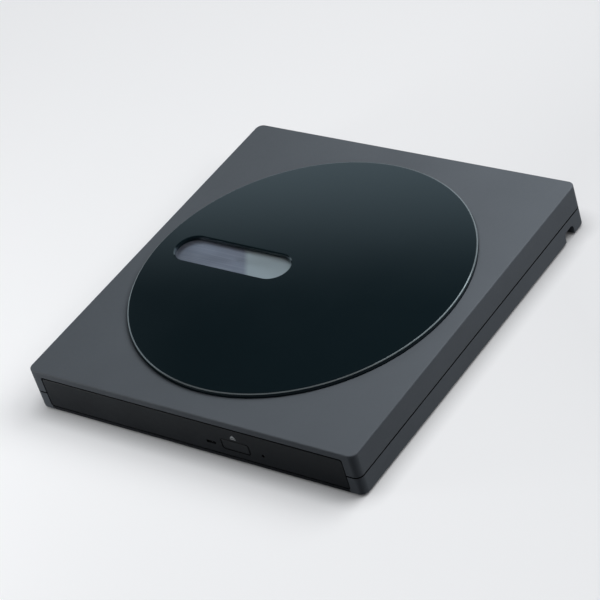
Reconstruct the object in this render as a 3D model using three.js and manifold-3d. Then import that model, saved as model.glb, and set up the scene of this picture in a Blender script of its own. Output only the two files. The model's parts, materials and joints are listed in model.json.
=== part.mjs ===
// Slim external disc drive: a two-part plastic case with a round gloss panel on top,
// around a tray-loading optical drive that slides out of the front.
// Millimetres. +X is right seen from the front, +Y is to the rear, +Z is up.
// The origin is the centre of the footprint, on the surface that the feet stand on.

import * as THREE from 'three';
import { mergeVertices } from 'three/addons/utils/BufferGeometryUtils.js';
import Module from 'manifold-3d';

const wasm = await Module();
wasm.setup();

// Clearances
const fitGap = 0.3;
const seatGap = 0.2;
const glueGap = 0.1;
const runGap = 0.3;

// The sizes build outwards: disc, tray, drive box, case.
const discRadius = 60;

// Tray, with a well that the disc lies in
const wellClearance = 0.5;
const wellDepth = 1.6;
const trayRim = 1.9;
const trayFrontRim = 1.2;
const trayRearRim = 2.5;
const trayFloor = 1;
const trayHeadroom = 3;
const trayPlateThickness = 0.3;
const skirtDepth = 4.9;
const skirtWall = 1;

// Drive box of sheet steel
const driveSheet = 0.6;
const traySideRoom = 0.8;
const trayRearRoom = 1.2;

// Bezel on the front of the tray
const bezelThickness = 3.35;
const bezelSetback = 0.05;
const bezelReveal = 0.4;
const bezelFloorGap = 0.35;
const bezelCeilingGap = 0.85;
const bezelCornerRadius = 0.8;
const frontPillar = 5.7;

// Case
const caseCornerRadius = 2.8;
const caseEdgeRadius = 0.5;
const caseWall = 1.8;
const caseRoof = 2;
const caseFloor = 1.6;
const caseSideRoom = 4.4;
const lidRoom = 0.8;
const partingHeight = 7.6;
const partingGap = 0.5;
const lipThickness = 0.8;
const lipRise = 1.6;
const footProud = 0.8;
const adapterStandoff = 0.9;
const adapterDepth = 12.2;

// Round gloss panel with its slot
const panelMargin = 6.8;
const panelProud = 1.6;
const panelSeat = 0.2;
const panelBevelWidth = 1.1;
const panelBevelDrop = 0.45;
const slotLength = 49.8;
const slotWidth = 13.5;
const slotFromRim = 7.8;

// One overrun serves every cut, and round pieces share three finenesses.
const overrun = 1;
const coarse = 16;
const medium = 32;
const fine = 96;

// Widths and depths that follow
const wellRadius = discRadius + wellClearance;
const trayWidth = 2 * (wellRadius + trayRim);
const driveWidth = trayWidth + 2 * (traySideRoom + driveSheet);
const caseWidth = driveWidth + 2 * (caseSideRoom + caseWall);
const bezelWidth = caseWidth - 2 * frontPillar;
const trayDepth = trayFrontRim + 2 * wellRadius + trayRearRim;
const driveDepth = trayDepth + trayRearRoom + driveSheet;
const rearRoom = adapterStandoff + adapterDepth + 3 * fitGap + lipThickness + caseWall;
const caseDepth = bezelSetback + bezelThickness + runGap + driveDepth + rearRoom;
const frontFace = -caseDepth / 2;
const rearFace = caseDepth / 2;
const bezelFront = frontFace + bezelSetback;
const bezelBack = bezelFront + bezelThickness;
const trayFront = bezelBack + runGap;
const trayRear = trayFront + trayDepth;
const chassisRear = trayFront + driveDepth;
const rearMiddle = (chassisRear + rearFace) / 2;
const hubY = trayFront + trayFrontRim + wellRadius;
const panelRadius = caseWidth / 2 - panelMargin;
const slotOffset = slotFromRim + slotLength / 2 - panelRadius;

// Levels that follow, from the feet up
const shellLow = footProud;
const floorTop = shellLow + caseFloor;
const parting = shellLow + partingHeight;
const chassisLow = floorTop + runGap;
const chassisFloorTop = chassisLow + driveSheet;
const trayPlateLow = chassisFloorTop + runGap;
const trayPlateTop = trayPlateLow + trayPlateThickness;
const skirtLow = trayPlateTop + fitGap;
const trayFloorLow = skirtLow + skirtDepth;
const trayFloorTop = trayFloorLow + trayFloor;
const trayRimTop = trayFloorTop + wellDepth;
const lidLow = trayRimTop + trayHeadroom;
const lidTop = lidLow + driveSheet;
const ceiling = lidTop + lidRoom;
const shellTop = ceiling + caseRoof;
const bezelLow = floorTop + bezelFloorGap;
const bezelTop = ceiling - bezelCeilingGap;

const quarterTurn = Math.PI / 2;
const fullTurn = 2 * Math.PI;

// Directions of an outline's own width, height and extrusion for each way it can face
const facings = {
  x: [new THREE.Vector3(0, 1, 0), new THREE.Vector3(0, 0, 1), new THREE.Vector3(1, 0, 0)],
  y: [new THREE.Vector3(1, 0, 0), new THREE.Vector3(0, 0, 1), new THREE.Vector3(0, -1, 0)],
  z: [new THREE.Vector3(1, 0, 0), new THREE.Vector3(0, 1, 0), new THREE.Vector3(0, 0, 1)],
};

// A closed solid from a geometry: positions only, shared corners merged, slivers dropped.
function toSolid(geometry) {
  const bare = geometry.clone();
  bare.deleteAttribute('normal');
  bare.deleteAttribute('uv');
  const merged = mergeVertices(bare);
  const corners = merged.index.array;
  const faces = [];
  for (let i = 0; i < corners.length; i += 3) {
    const [a, b, c] = corners.slice(i, i + 3);
    if (a !== b && b !== c && c !== a) {
      faces.push(a, b, c);
    }
  }
  return new wasm.Manifold(new wasm.Mesh({
    numProp: 3,
    vertProperties: new Float32Array(merged.attributes.position.array),
    triVerts: new Uint32Array(faces),
  }));
}

function toGeometry(solid) {
  const mesh = solid.getMesh();
  const geometry = new THREE.BufferGeometry();
  geometry.setAttribute('position', new THREE.BufferAttribute(mesh.vertProperties, 3));
  geometry.setIndex(new THREE.BufferAttribute(mesh.triVerts, 1));
  return geometry;
}

function join(...geometries) {
  return toGeometry(geometries.map(toSolid).reduce((whole, extra) => whole.add(extra)));
}

function cut(geometry, ...tools) {
  return toGeometry(tools.map(toSolid).reduce((rest, tool) => rest.subtract(tool), toSolid(geometry)));
}

function common(first, second) {
  return toGeometry(toSolid(first).intersect(toSolid(second)));
}

// A box between three pairs of limits.
function block(x, y, z) {
  const box = new THREE.BoxGeometry(x[1] - x[0], y[1] - y[0], z[1] - z[0]);
  return box.translate((x[0] + x[1]) / 2, (y[0] + y[1]) / 2, (z[0] + z[1]) / 2);
}

// A rectangle with round corners between two pairs of limits.
function roundedRectangle(x, y, radius) {
  const shape = new THREE.Shape();
  shape.moveTo(x[0] + radius, y[0]);
  shape.absarc(x[1] - radius, y[0] + radius, radius, -quarterTurn, 0);
  shape.absarc(x[1] - radius, y[1] - radius, radius, 0, quarterTurn);
  shape.absarc(x[0] + radius, y[1] - radius, radius, quarterTurn, 2 * quarterTurn);
  shape.absarc(x[0] + radius, y[0] + radius, radius, 2 * quarterTurn, 3 * quarterTurn);
  return shape;
}

// An outline made solid between two limits along an axis, its ends eased by a small rounding.
function extruded(shape, axis, limits, rounding = 0) {
  const length = limits[1] - limits[0];
  const geometry = new THREE.ExtrudeGeometry(shape, {
    depth: length - 2 * rounding,
    bevelEnabled: rounding > 0,
    bevelThickness: rounding,
    bevelSize: rounding,
    bevelOffset: -rounding,
    bevelSegments: 2,
    curveSegments: 4,
  });
  geometry.translate(0, 0, rounding);
  geometry.applyMatrix4(new THREE.Matrix4().makeBasis(...facings[axis]));
  const start = { x: [limits[0], 0, 0], y: [0, limits[1], 0], z: [0, 0, limits[0]] };
  return geometry.translate(...start[axis]);
}

// A round bar along an axis. The centre gives the other two places, in the order x, y, z.
function bar(radius, axis, centre, limits, sides = coarse) {
  const geometry = new THREE.CylinderGeometry(radius, radius, limits[1] - limits[0], sides);
  const middle = (limits[0] + limits[1]) / 2;
  if (axis === 'x') {
    return geometry.rotateZ(quarterTurn).translate(middle, centre[0], centre[1]);
  }
  if (axis === 'y') {
    return geometry.translate(centre[0], middle, centre[1]);
  }
  return geometry.rotateX(quarterTurn).translate(centre[0], centre[1], middle);
}

// A turned solid from a profile of [radius, height] points, about an upright axis.
function turned(profile, centre = [0, 0], sides = medium) {
  const points = profile.map(([radius, height]) => new THREE.Vector2(radius, height));
  const geometry = new THREE.LatheGeometry(points, sides);
  return geometry.rotateX(quarterTurn).translate(centre[0], centre[1], 0);
}

function around(middle, size) {
  return [middle - size / 2, middle + size / 2];
}

const drive = new THREE.Group();

// Finishes by name: colour, roughness, metalness
const finishes = {
  casePlastic: [0x4a4f53, 0.62, 0],
  glossPanel: [0x0b1113, 0.08, 0],
  brushedInlay: [0x7d8488, 0.34, 0.9],
  bezelPlastic: [0x1b1d20, 0.38, 0],
  trayPlastic: [0x1e1f21, 0.5, 0],
  darkPlastic: [0x141516, 0.5, 0],
  rubber: [0x161616, 0.85, 0],
  steel: [0xa9adb0, 0.35, 1],
  zincScrew: [0x55585a, 0.4, 1],
  board: [0x1c4a31, 0.5, 0],
  chip: [0x17181a, 0.45, 0],
  castMetal: [0x8d9092, 0.5, 1],
  smokedLens: [0x3b4a52, 0.15, 0],
  opticGlass: [0x6d7fa8, 0.04, 0],
  ribbonFilm: [0xc9cdd2, 0.4, 0],
};

function add(name, geometry, finish, parent = drive) {
  const [color, roughness, metalness] = finishes[finish];
  const mesh = new THREE.Mesh(geometry, new THREE.MeshStandardMaterial({ color, roughness, metalness }));
  mesh.name = name;
  parent.add(mesh);
  return mesh;
}

// Outline of the case, moved in by a wall where one is given.
function caseOutline(inset = 0) {
  return roundedRectangle(
    around(0, caseWidth - 2 * inset),
    around(0, caseDepth - 2 * inset),
    Math.max(caseCornerRadius - inset, caseWall / 2),
  );
}

// The opening in the front that the bezel closes
function window() {
  return block(
    around(0, bezelWidth + 2 * bezelReveal),
    [frontFace - overrun, frontFace + caseWall + lipThickness + fitGap + overrun],
    [bezelLow - bezelReveal, bezelTop + bezelReveal],
  );
}

// Places in the rear of the case: adapter board, cable groove, screws
const adapterLeftRoom = 18.2;
const adapterRightRoom = 19;
const adapterFront = chassisRear + adapterStandoff;
const adapterRear = adapterFront + adapterDepth;
const grooveWidth = 5.9;
const grooveHeight = 4.1;
const grooveCornerRadius = 1.8;
const grooveStandoff = 2.3;
const grooveLength = 40;
const grooveWall = 1.2;
const grooveEndWall = 3;
const grooveFront = chassisRear + grooveStandoff + grooveWall;
const grooveY = grooveFront + grooveWidth / 2;
const grooveTop = shellLow + grooveHeight;
const grooveEnd = caseWidth / 2 - grooveLength;
const adapterLeft = caseWall + adapterLeftRoom - caseWidth / 2;
const adapterRight = grooveEnd - grooveEndWall - adapterRightRoom;
const screwLeftX = adapterLeft - adapterLeftRoom / 2;
const screwRightX = adapterRight + adapterRightRoom / 2;
const screwSites = [[screwLeftX, rearMiddle], [screwRightX, rearMiddle]];

// Case screws: at the rear, from below
const screwHeadRadius = 2.1;
const screwHeadHeight = 1.4;
const screwSink = 0.5;
const screwShankRadius = 0.9;
const screwLength = 8.3;
const screwSlotWidth = 0.6;
const screwHeadLow = shellLow + screwSink;
const screwHeadTop = screwHeadLow + screwHeadHeight;
const screwBossRadius = 3.3;
const screwBossTop = screwHeadTop + seatGap + caseFloor;
const pillarRadius = 2.8;

// Top cover
const inlayMargin = 2;
const inlayThickness = 0.5;
const panelSeatLevel = shellTop - panelSeat;
const inlayPocketLow = panelSeatLevel - inlayThickness - glueGap;
const inlayLow = inlayPocketLow + glueGap;
const padLength = 9;
const padThickness = 1.5;
const padInset = 14;
const padX = driveWidth / 2 - padInset;
const padY = driveDepth / 2 - padInset;
const padMiddle = (trayFront + chassisRear) / 2;

function slotOutline(margin) {
  const halfLength = slotLength / 2 + margin;
  return roundedRectangle(
    [slotOffset - halfLength, slotOffset + halfLength],
    around(0, slotWidth + 2 * margin),
    slotWidth / 2 + margin,
  );
}

function topCover() {
  const low = parting + partingGap / 2;
  const whole = extruded(caseOutline(), 'z', [low - 2 * caseEdgeRadius, shellTop], caseEdgeRadius);
  const belowSeam = block(
    around(0, caseWidth + overrun),
    around(0, caseDepth + overrun),
    [low - 3 * caseEdgeRadius, low],
  );
  const hollow = extruded(caseOutline(caseWall), 'z', [low - overrun, ceiling]);
  const panelRecess = bar(panelRadius + fitGap, 'z', [0, 0], [panelSeatLevel, shellTop + overrun], fine);
  const inlayPocket = extruded(slotOutline(inlayMargin + glueGap), 'z', [inlayPocketLow, shellTop]);
  const shell = cut(whole, belowSeam, hollow, panelRecess, inlayPocket, window());
  const pillars = screwSites.map((site) => bar(
    pillarRadius,
    'z',
    site,
    [screwBossTop + seatGap, ceiling + glueGap],
  ));
  const pads = [-padX, padX].flatMap((x) => [padMiddle - padY, padMiddle + padY].map((y) => block(
    around(x, padLength),
    around(y, padThickness),
    [lidTop + fitGap, ceiling + glueGap],
  )));
  const pilots = screwSites.map((site) => bar(
    screwShankRadius + seatGap,
    'z',
    site,
    [screwBossTop - overrun, screwHeadTop + screwLength + overrun],
  ));
  return cut(join(shell, ...pillars, ...pads), ...pilots);
}

add('top_cover', topCover(), 'casePlastic');

// Round gloss panel on the top cover, with a bevelled rim and a stadium slot
function discPanel() {
  const low = panelSeatLevel + glueGap;
  const top = shellTop + panelProud;
  const plate = turned([
    [0, low],
    [panelRadius, low],
    [panelRadius, top - panelBevelDrop],
    [panelRadius - panelBevelWidth, top],
    [0, top],
  ], [0, 0], fine);
  return cut(plate, extruded(slotOutline(0), 'z', [low - overrun, top + overrun]));
}

add('disc_panel', discPanel(), 'glossPanel');

// Brushed plate at the bottom of the slot, let into the top cover under the panel
const inlayLimits = [inlayLow, inlayLow + inlayThickness];
add('slot_inlay', extruded(slotOutline(inlayMargin), 'z', inlayLimits), 'brushedInlay');

// Bottom cover: cable groove, feet and the posts of the adapter board
const glandRadius = 1.5;
const glandBoreRadius = 0.9;
const glandFlangeRadius = 1.9;
const glandFlange = 0.8;
const glandZ = (shellLow + grooveTop) / 2 + glueGap;
const footRadius = 5;
const footSeat = 0.5;
const footInset = 12;
const footFromFront = 11.4;
const footRoom = 2.1;
const footX = caseWidth / 2 - footInset;
const footFrontY = frontFace + footFromFront;
const footRearY = grooveFront - grooveWall - footRoom - footRadius;
const footSites = {
  foot_front_left: [-footX, footFrontY],
  foot_front_right: [footX, footFrontY],
  foot_rear_left: [-footX, footRearY],
  foot_rear_right: [footX, footRearY],
};
const ribThickness = 1.5;
const ribHeight = 4;
const ribSpacing = 45;
const ribCount = 3;
const labelWidth = 60;
const labelDepth = 34;
const labelSink = 0.25;
const labelCornerRadius = 2;
const adapterThickness = 1;
const tongueThickness = 1.2;
const tongueLift = 0.7;
const connectorTop = trayFloorLow - fitGap;
const tongueTop = connectorTop - driveSheet - fitGap;
const tongueLow = tongueTop - tongueThickness;
const socketLow = tongueLow - tongueLift;
const adapterTop = socketLow - glueGap;
const adapterLow = adapterTop - adapterThickness;
const postRadius = 1.8;
const postInset = 4;
const boardScrewRadius = 0.8;
const boardScrewHead = 1.6;
const boardScrewHeadHeight = 0.9;
const boardScrewLength = 2.2;
const postY = adapterRear - postInset;
const postSites = {
  board_screw_left: [adapterLeft + postInset, postY],
  board_screw_right: [adapterRight - postInset, postY],
};

// Outline of the cable groove across its run, opened downwards by a reach.
function grooveOutline(margin, reach) {
  return roundedRectangle(
    around(grooveY, grooveWidth + 2 * margin),
    [shellLow - reach, grooveTop + margin],
    grooveCornerRadius,
  );
}

function bottomCover() {
  const high = parting - partingGap / 2;
  const whole = extruded(caseOutline(), 'z', [shellLow, high + 2 * caseEdgeRadius], caseEdgeRadius);
  const aboveSeam = block(
    around(0, caseWidth + overrun),
    around(0, caseDepth + overrun),
    [high, high + 3 * caseEdgeRadius],
  );
  const hollow = extruded(caseOutline(caseWall), 'z', [floorTop, high + 2 * overrun]);
  const tub = cut(whole, aboveSeam, hollow);

  // A lip inside the seam keeps the two covers in line.
  const lipOuter = caseOutline(caseWall + fitGap);
  const lipInner = caseOutline(caseWall + fitGap + lipThickness);
  const lip = cut(
    extruded(lipOuter, 'z', [high - lipRise, high + lipRise]),
    extruded(lipInner, 'z', [high - lipRise - overrun, high + lipRise + overrun]),
  );
  const lipRoot = cut(
    extruded(caseOutline(caseWall / 2), 'z', [high - 2 * lipRise, high - lipRise + glueGap]),
    extruded(lipInner, 'z', [high - 3 * lipRise, high]),
  );

  const grooveCover = common(
    extruded(grooveOutline(grooveWall, 0), 'x', [grooveEnd - grooveEndWall, caseWidth / 2]),
    block(
      [grooveEnd - 2 * grooveEndWall, caseWidth / 2 - glueGap],
      around(grooveY, caseDepth / 2),
      [shellLow, parting],
    ),
  );
  const grooveCut = extruded(
    grooveOutline(0, 2 * grooveCornerRadius),
    'x',
    [grooveEnd, caseWidth / 2 + overrun],
  );
  const glandHole = bar(
    glandRadius + seatGap,
    'x',
    [grooveY, glandZ],
    [grooveEnd - grooveEndWall - 2 * overrun, grooveEnd + overrun],
  );

  const ribs = [-1, 1].flatMap((side) => Array.from({ length: ribCount }, (_, i) => {
    const y = (i - (ribCount - 1) / 2) * ribSpacing;
    const inner = driveWidth / 2 + driveSheet + 2 * fitGap;
    const limits = [side * inner, side * (caseWidth / 2 - caseWall + glueGap)].sort((a, b) => a - b);
    return block(limits, around(y, ribThickness), [floorTop - glueGap, floorTop + ribHeight]);
  }));
  const screwBosses = screwSites.map((site) => bar(screwBossRadius, 'z', site, [shellLow, screwBossTop]));
  const counterbores = screwSites.map((site) => bar(
    screwHeadRadius + fitGap,
    'z',
    site,
    [shellLow - overrun, screwHeadTop + seatGap],
  ));
  const screwHoles = screwSites.map((site) => bar(
    screwShankRadius + fitGap,
    'z',
    site,
    [shellLow, screwBossTop + overrun],
  ));
  const posts = Object.values(postSites).map((site) => bar(
    postRadius,
    'z',
    site,
    [floorTop - glueGap, adapterLow - seatGap],
  ));
  const postHoles = Object.values(postSites).map((site) => bar(
    boardScrewRadius + seatGap,
    'z',
    site,
    [floorTop, adapterLow + overrun],
  ));
  const footPockets = Object.values(footSites).map((site) => bar(
    footRadius + fitGap,
    'z',
    site,
    [shellLow - overrun, shellLow + footSeat],
    medium,
  ));
  const label = extruded(
    roundedRectangle(around(0, labelWidth), around(0, labelDepth), labelCornerRadius),
    'z',
    [shellLow - overrun, shellLow + labelSink],
  );
  return cut(
    join(tub, lip, lipRoot, grooveCover, ...ribs, ...screwBosses, ...posts),
    grooveCut,
    glandHole,
    ...counterbores,
    ...screwHoles,
    ...postHoles,
    ...footPockets,
    label,
    window(),
  );
}

add('bottom_cover', bottomCover(), 'casePlastic');

for (const [name, site] of Object.entries(footSites)) {
  add(name, bar(footRadius, 'z', site, [0, shellLow + footSeat - glueGap], medium), 'rubber');
}

// A pan-head screw with a cross recess, head down.
function panScrew(site, headRadius, headLow, headTop, shankRadius, tip) {
  const body = turned([
    [0, headLow],
    [headRadius, headLow],
    [headRadius, headTop],
    [shankRadius, headTop],
    [shankRadius, tip - shankRadius],
    [0, tip],
  ], site, coarse);
  const recess = [headLow - overrun, headLow + (headTop - headLow) / 2];
  return cut(
    body,
    block(around(site[0], headRadius), around(site[1], screwSlotWidth), recess),
    block(around(site[0], screwSlotWidth), around(site[1], headRadius), recess),
  );
}

['case_screw_left', 'case_screw_right'].forEach((name, i) => {
  const tip = screwHeadTop + screwLength;
  const screw = panScrew(screwSites[i], screwHeadRadius, screwHeadLow, screwHeadTop, screwShankRadius, tip);
  add(name, screw, 'zincScrew');
});

// Rubber gland in the end wall of the cable groove
add('cable_gland', cut(
  join(
    bar(glandRadius, 'x', [grooveY, glandZ], [grooveEnd - grooveEndWall + glueGap, grooveEnd + glandFlange]),
    bar(glandFlangeRadius, 'x', [grooveY, glandZ], [grooveEnd + seatGap, grooveEnd + seatGap + glandFlange]),
  ),
  bar(
    glandBoreRadius,
    'x',
    [grooveY, glandZ],
    [grooveEnd - grooveEndWall - overrun, grooveEnd + glandFlange + overrun],
  ),
), 'rubber');

// Adapter board behind the drive, on two posts
const socketLeftInset = 9;
const socketRightInset = 17;
const socketLeft = adapterLeft + socketLeftInset;
const socketRight = adapterRight - socketRightInset;
const socketDepth = 4.2;
const socketHeight = 3;
const tongueInset = 2;
const tongueReach = 2.8;
const socketFront = chassisRear + fitGap;
const chipSide = 7;
const chipThickness = 1;
const chipInset = 10;
const chipX = adapterRight - chipInset;
const chipY = adapterFront + adapterDepth / 2;

add('adapter_board', cut(
  block([adapterLeft, adapterRight], [adapterFront, adapterRear], [adapterLow, adapterTop]),
  ...Object.values(postSites).map((site) => bar(
    boardScrewRadius + fitGap,
    'z',
    site,
    [adapterLow - overrun, adapterTop + overrun],
  )),
), 'board');

for (const [name, site] of Object.entries(postSites)) {
  const headLow = adapterTop + glueGap;
  add(name, join(
    bar(boardScrewHead, 'z', site, [headLow, headLow + boardScrewHeadHeight]),
    bar(boardScrewRadius, 'z', site, [headLow - boardScrewLength, headLow + boardScrewHeadHeight / 2]),
  ), 'zincScrew');
}

add('adapter_chip', block(
  around(chipX, chipSide),
  around(chipY - chipSide / 4, chipSide),
  [adapterTop + glueGap, adapterTop + glueGap + chipThickness],
), 'chip');

add('adapter_socket', join(
  block(
    [socketLeft, socketRight],
    [socketFront, socketFront + socketDepth],
    [socketLow, socketLow + socketHeight],
  ),
  block(
    [socketLeft + tongueInset, socketRight - tongueInset],
    [socketFront - tongueReach, socketFront + socketDepth / 2],
    [tongueLow, tongueTop],
  ),
), 'chip');

// Rails: the tray's tongue runs in the rail, and the rail's own tongue in the guide
const railThickness = 2;
const railHeight = 3.4;
const railLift = 0.8;
const railSetback = 3.7;
const railShort = 6;
const tongueDepth = 0.9;
const tongueHeight = 1.4;
const guideThickness = 2.5;
const guideHeight = 5.2;
const guideSetback = 1.7;
const guideShort = 2;
const railLow = skirtLow + railLift;
const railMiddle = railLow + railHeight / 2;
const runTongue = around(railMiddle, tongueHeight);
const runGroove = around(railMiddle, tongueHeight + 2 * runGap);

const guideOuter = driveWidth / 2 - driveSheet - seatGap;
const guideInner = guideOuter - guideThickness;
const railOuter = guideInner - runGap;
const railInner = railOuter - railThickness;
const skirtHalfWidth = railInner - runGap;
const skirtInner = skirtHalfWidth - skirtWall;
const driveBoardDepth = 5.4;
const driveBoardRoom = 0.5;
const driveBoardRear = chassisRear - driveSheet - fitGap;
const driveBoardFront = driveBoardRear - driveBoardDepth;
const skirtRear = driveBoardFront - driveBoardRoom;
const railFront = trayFront + railSetback;
const railRear = skirtRear - railShort;
const guideFront = trayFront + guideSetback;
const guideRear = skirtRear - guideShort;

// Latch, ribbon and solenoid stand in a row inward from the tray's right skirt.
const solenoidLength = 5.6;
const solenoidGap = 2.5;
const leverWidth = 3;
const leverToPost = 7;
const postToRibbon = 6;
const ribbonWidth = 20;
const solenoidRight = skirtInner - fitGap;
const solenoidLeft = solenoidRight - solenoidLength;
const leverRight = solenoidLeft - solenoidGap;
const leverLeft = leverRight - leverWidth;
const leverPivotX = (leverLeft + leverRight) / 2;
const latchPostX = leverPivotX - leverToPost;
const ribbonRight = latchPostX - postToRibbon;
const ribbonLeft = ribbonRight - ribbonWidth;

// Drive box: a folded steel floor with walls, and a lid that hooks over them
const lidFlange = 4.6;
const connectorMargin = 1;
const driveBoardThickness = 0.8;
const driveBoardMargin = 3;
const driveBoardLow = chassisFloorTop + seatGap;
const driveBoardTop = driveBoardLow + driveBoardThickness;
const connectorLow = driveBoardTop + glueGap;
const rearHole = block(
  [socketLeft - connectorMargin - fitGap, socketRight + connectorMargin + fitGap],
  [chassisRear - driveSheet - overrun, chassisRear + overrun],
  [connectorLow - fitGap, connectorTop + fitGap],
);

function chassis() {
  const outer = block(around(0, driveWidth), [trayFront, chassisRear], [chassisLow, lidLow - seatGap]);
  const inner = block(
    around(0, driveWidth - 2 * driveSheet),
    [trayFront - overrun, chassisRear - driveSheet],
    [chassisFloorTop, lidLow + overrun],
  );
  return cut(outer, inner, rearHole);
}

add('drive_chassis', chassis(), 'steel');

function driveLid() {
  const outer = block(
    around(0, driveWidth + 2 * glueGap + 2 * driveSheet),
    [trayFront, chassisRear],
    [lidLow - lidFlange, lidLow + driveSheet],
  );
  const inner = block(
    around(0, driveWidth + 2 * glueGap),
    [trayFront - overrun, chassisRear + overrun],
    [lidLow - lidFlange - overrun, lidLow],
  );
  return cut(outer, inner);
}

add('drive_lid', driveLid(), 'steel');

add('drive_board', block(
  [socketLeft - driveBoardMargin, ribbonRight + driveBoardMargin],
  [driveBoardFront, driveBoardRear],
  [driveBoardLow, driveBoardTop],
), 'board');

add('drive_connector', cut(
  block(
    [socketLeft - connectorMargin, socketRight + connectorMargin],
    [driveBoardFront + fitGap, chassisRear],
    [connectorLow, connectorTop],
  ),
  block(
    [socketLeft + tongueInset - fitGap, socketRight - tongueInset + fitGap],
    [socketFront - tongueReach - fitGap, chassisRear + overrun],
    [tongueLow - fitGap, tongueTop + fitGap],
  ),
), 'chip');

// Mirrors a pair of limits to the left side where side is -1.
function mirrored(side, low, high) {
  return side < 0 ? [-high, -low] : [low, high];
}

for (const [word, side] of [['left', -1], ['right', 1]]) {
  add(`rail_${word}`, cut(
    join(
      block(mirrored(side, railInner, railOuter), [railFront, railRear], [railLow, railLow + railHeight]),
      block(mirrored(side, railOuter - glueGap, railOuter + tongueDepth), [railFront, railRear], runTongue),
    ),
    block(
      mirrored(side, railInner - overrun, railInner + tongueDepth),
      [railFront - overrun, railRear + overrun],
      runGroove,
    ),
  ), 'steel');
  add(`rail_guide_${word}`, cut(
    block(
      mirrored(side, guideInner, guideOuter),
      [guideFront, guideRear],
      [chassisFloorTop + seatGap, chassisFloorTop + seatGap + guideHeight],
    ),
    block(
      mirrored(side, guideInner - overrun, guideInner + tongueDepth + fitGap),
      [guideFront - overrun, guideRear + overrun],
      runGroove,
    ),
  ), 'darkPlastic');
}

// Traverse: the frame with the spindle and the pickup, turned so that its run points
// from the hub to the tray's front left corner. u is along the run, v across it.
const runAngle = THREE.MathUtils.degToRad(225);
const traverse = new THREE.Group();
traverse.position.set(0, hubY, 0);
traverse.rotation.z = runAngle;
drive.add(traverse);
traverse.updateMatrix();

const turntableRadius = 14.5;
const openingMargin = 0.5;
const openingSide = 2.5;
const damperRadius = 2.8;
const damperWaist = 2;
const damperBore = 1.3;
const damperHeight = 3.8;
const damperFlange = 0.8;
const damperWeb = 1.6;
const damperWall = 1.2;
const lugLength = 9;
const motorBaseRadius = 10.6;
const motorBayFloor = 0.8;
const bulkhead = 4.6;
const rodRadius = 1;
const rodSeat = 3.7;
const rodFromBay = 2.1;
const rodRoom = 1.7;
const leadRadius = 0.9;
const leadToRod = 5;
const sledMotorRadius = 2.1;
const sledMotorStart = 2.5;
const frameWall = 1.8;
const frameEndWall = 2;
const frameRoom = 1.4;
const pickupInner = 8;
const pickupOuter = 3;
const pickupStartGap = 1;

const openingHalfWidth = turntableRadius + openingSide;
const openingInner = -(turntableRadius + damperBore);
const damperInnerU = openingInner - damperRadius;
const frameInnerEnd = damperInnerU - damperRadius - rodRadius;
const spindleBayRadius = motorBaseRadius + fitGap;
const mainRodV = spindleBayRadius + rodFromBay;
const leadV = -mainRodV;
const subRodV = leadV + leadToRod;
const frameHalfWidth = mainRodV + rodRadius + rodRoom + frameWall;
const frameOuterEnd = Math.SQRT2 * (skirtInner - frameRoom) - frameHalfWidth;
const runStart = spindleBayRadius + bulkhead;
const runEnd = frameOuterEnd - frameEndWall;
const lensStart = runStart + pickupStartGap + pickupInner;
const sledMotorEnd = runStart - seatGap - 5 * fitGap;
const sledBayHalf = sledMotorRadius + 2 * fitGap;
const lugReach = damperRadius + seatGap + damperWaist + fitGap + damperWall;
const damperOuterU = frameOuterEnd - lugReach - lugLength / 2;
const damperOuterV = frameHalfWidth + damperRadius + seatGap;
const damperSites = {
  damper_inner: [damperInnerU, 0],
  damper_outer_left: [damperOuterU, -damperOuterV],
  damper_outer_right: [damperOuterU, damperOuterV],
};
const frameLow = skirtLow;
const frameTop = trayFloorLow - fitGap;
const rodZ = (frameLow + frameTop) / 2 + glueGap;
const motorBayLevel = frameLow + motorBayFloor;
const damperLow = frameLow + 2 * seatGap;
const damperMiddle = damperLow + damperHeight / 2;

// Latch and ribbon places along the tray
const latchPostSetback = 12.7;
const latchPostRadius = 1.1;
const latchPostHeight = 2;
const latchChannelMargin = 0.5;
const leverReach = 21;
const leverPinRadius = 1;
const leverThickness = 0.8;
const latchPostY = trayFront + latchPostSetback;
const leverPivotY = latchPostY + leverReach;
const leverLow = skirtLow + seatGap;
const ribbonFilm = 0.2;
const ribbonBend = 1;
const ribbonRoom = 2.3;
const ribbonFold = hubY - Math.SQRT2 * frameInnerEnd - ribbonLeft + ribbonRoom;
const ribbonLow = chassisFloorTop + runGap;
const ribbonTop = ribbonLow + ribbonBend;

// Ejector place on the tray
const ejectorInset = 7.9;
const ejectorRadius = 1;
const ejectorRun = 20;
const ejectorX = -(skirtHalfWidth - ejectorInset);
const ejectorZ = railMiddle;
const ejectorGuideY = skirtRear - ejectorRun;
const ejectorGuideThickness = 1.5;
const ejectorGuideWidth = 6;

// Button, lamp and pin hole on the bezel
const buttonWidth = 11.2;
const buttonHeight = 4;
const buttonFromEdge = 45.2;
const buttonX = bezelWidth / 2 - buttonFromEdge;
const buttonLift = 4.85;
const buttonTravel = 0.5;
const buttonGap = 0.25;
const buttonPlate = 2.75;
const stemWidth = 6;
const stemHeight = 2.2;
const stemLength = 1.7;
const buttonZ = bezelLow + buttonLift;
const lampFromButton = 10.6;
const lampX = buttonX - lampFromButton;
const lampLength = 3.8;
const lampHeight = 1;
const lampDrop = 0.8;
const lampZ = buttonZ - lampDrop;
const pinHoleFromButton = 11.3;
const pinHoleX = buttonX + pinHoleFromButton;
const pinHoleRadius = 0.6;
const pinHoleZ = lampZ;

// Brings a shape from the traverse's own directions to its place in the tray.
function onTray(geometry) {
  return geometry.applyMatrix4(traverse.matrix);
}

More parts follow.
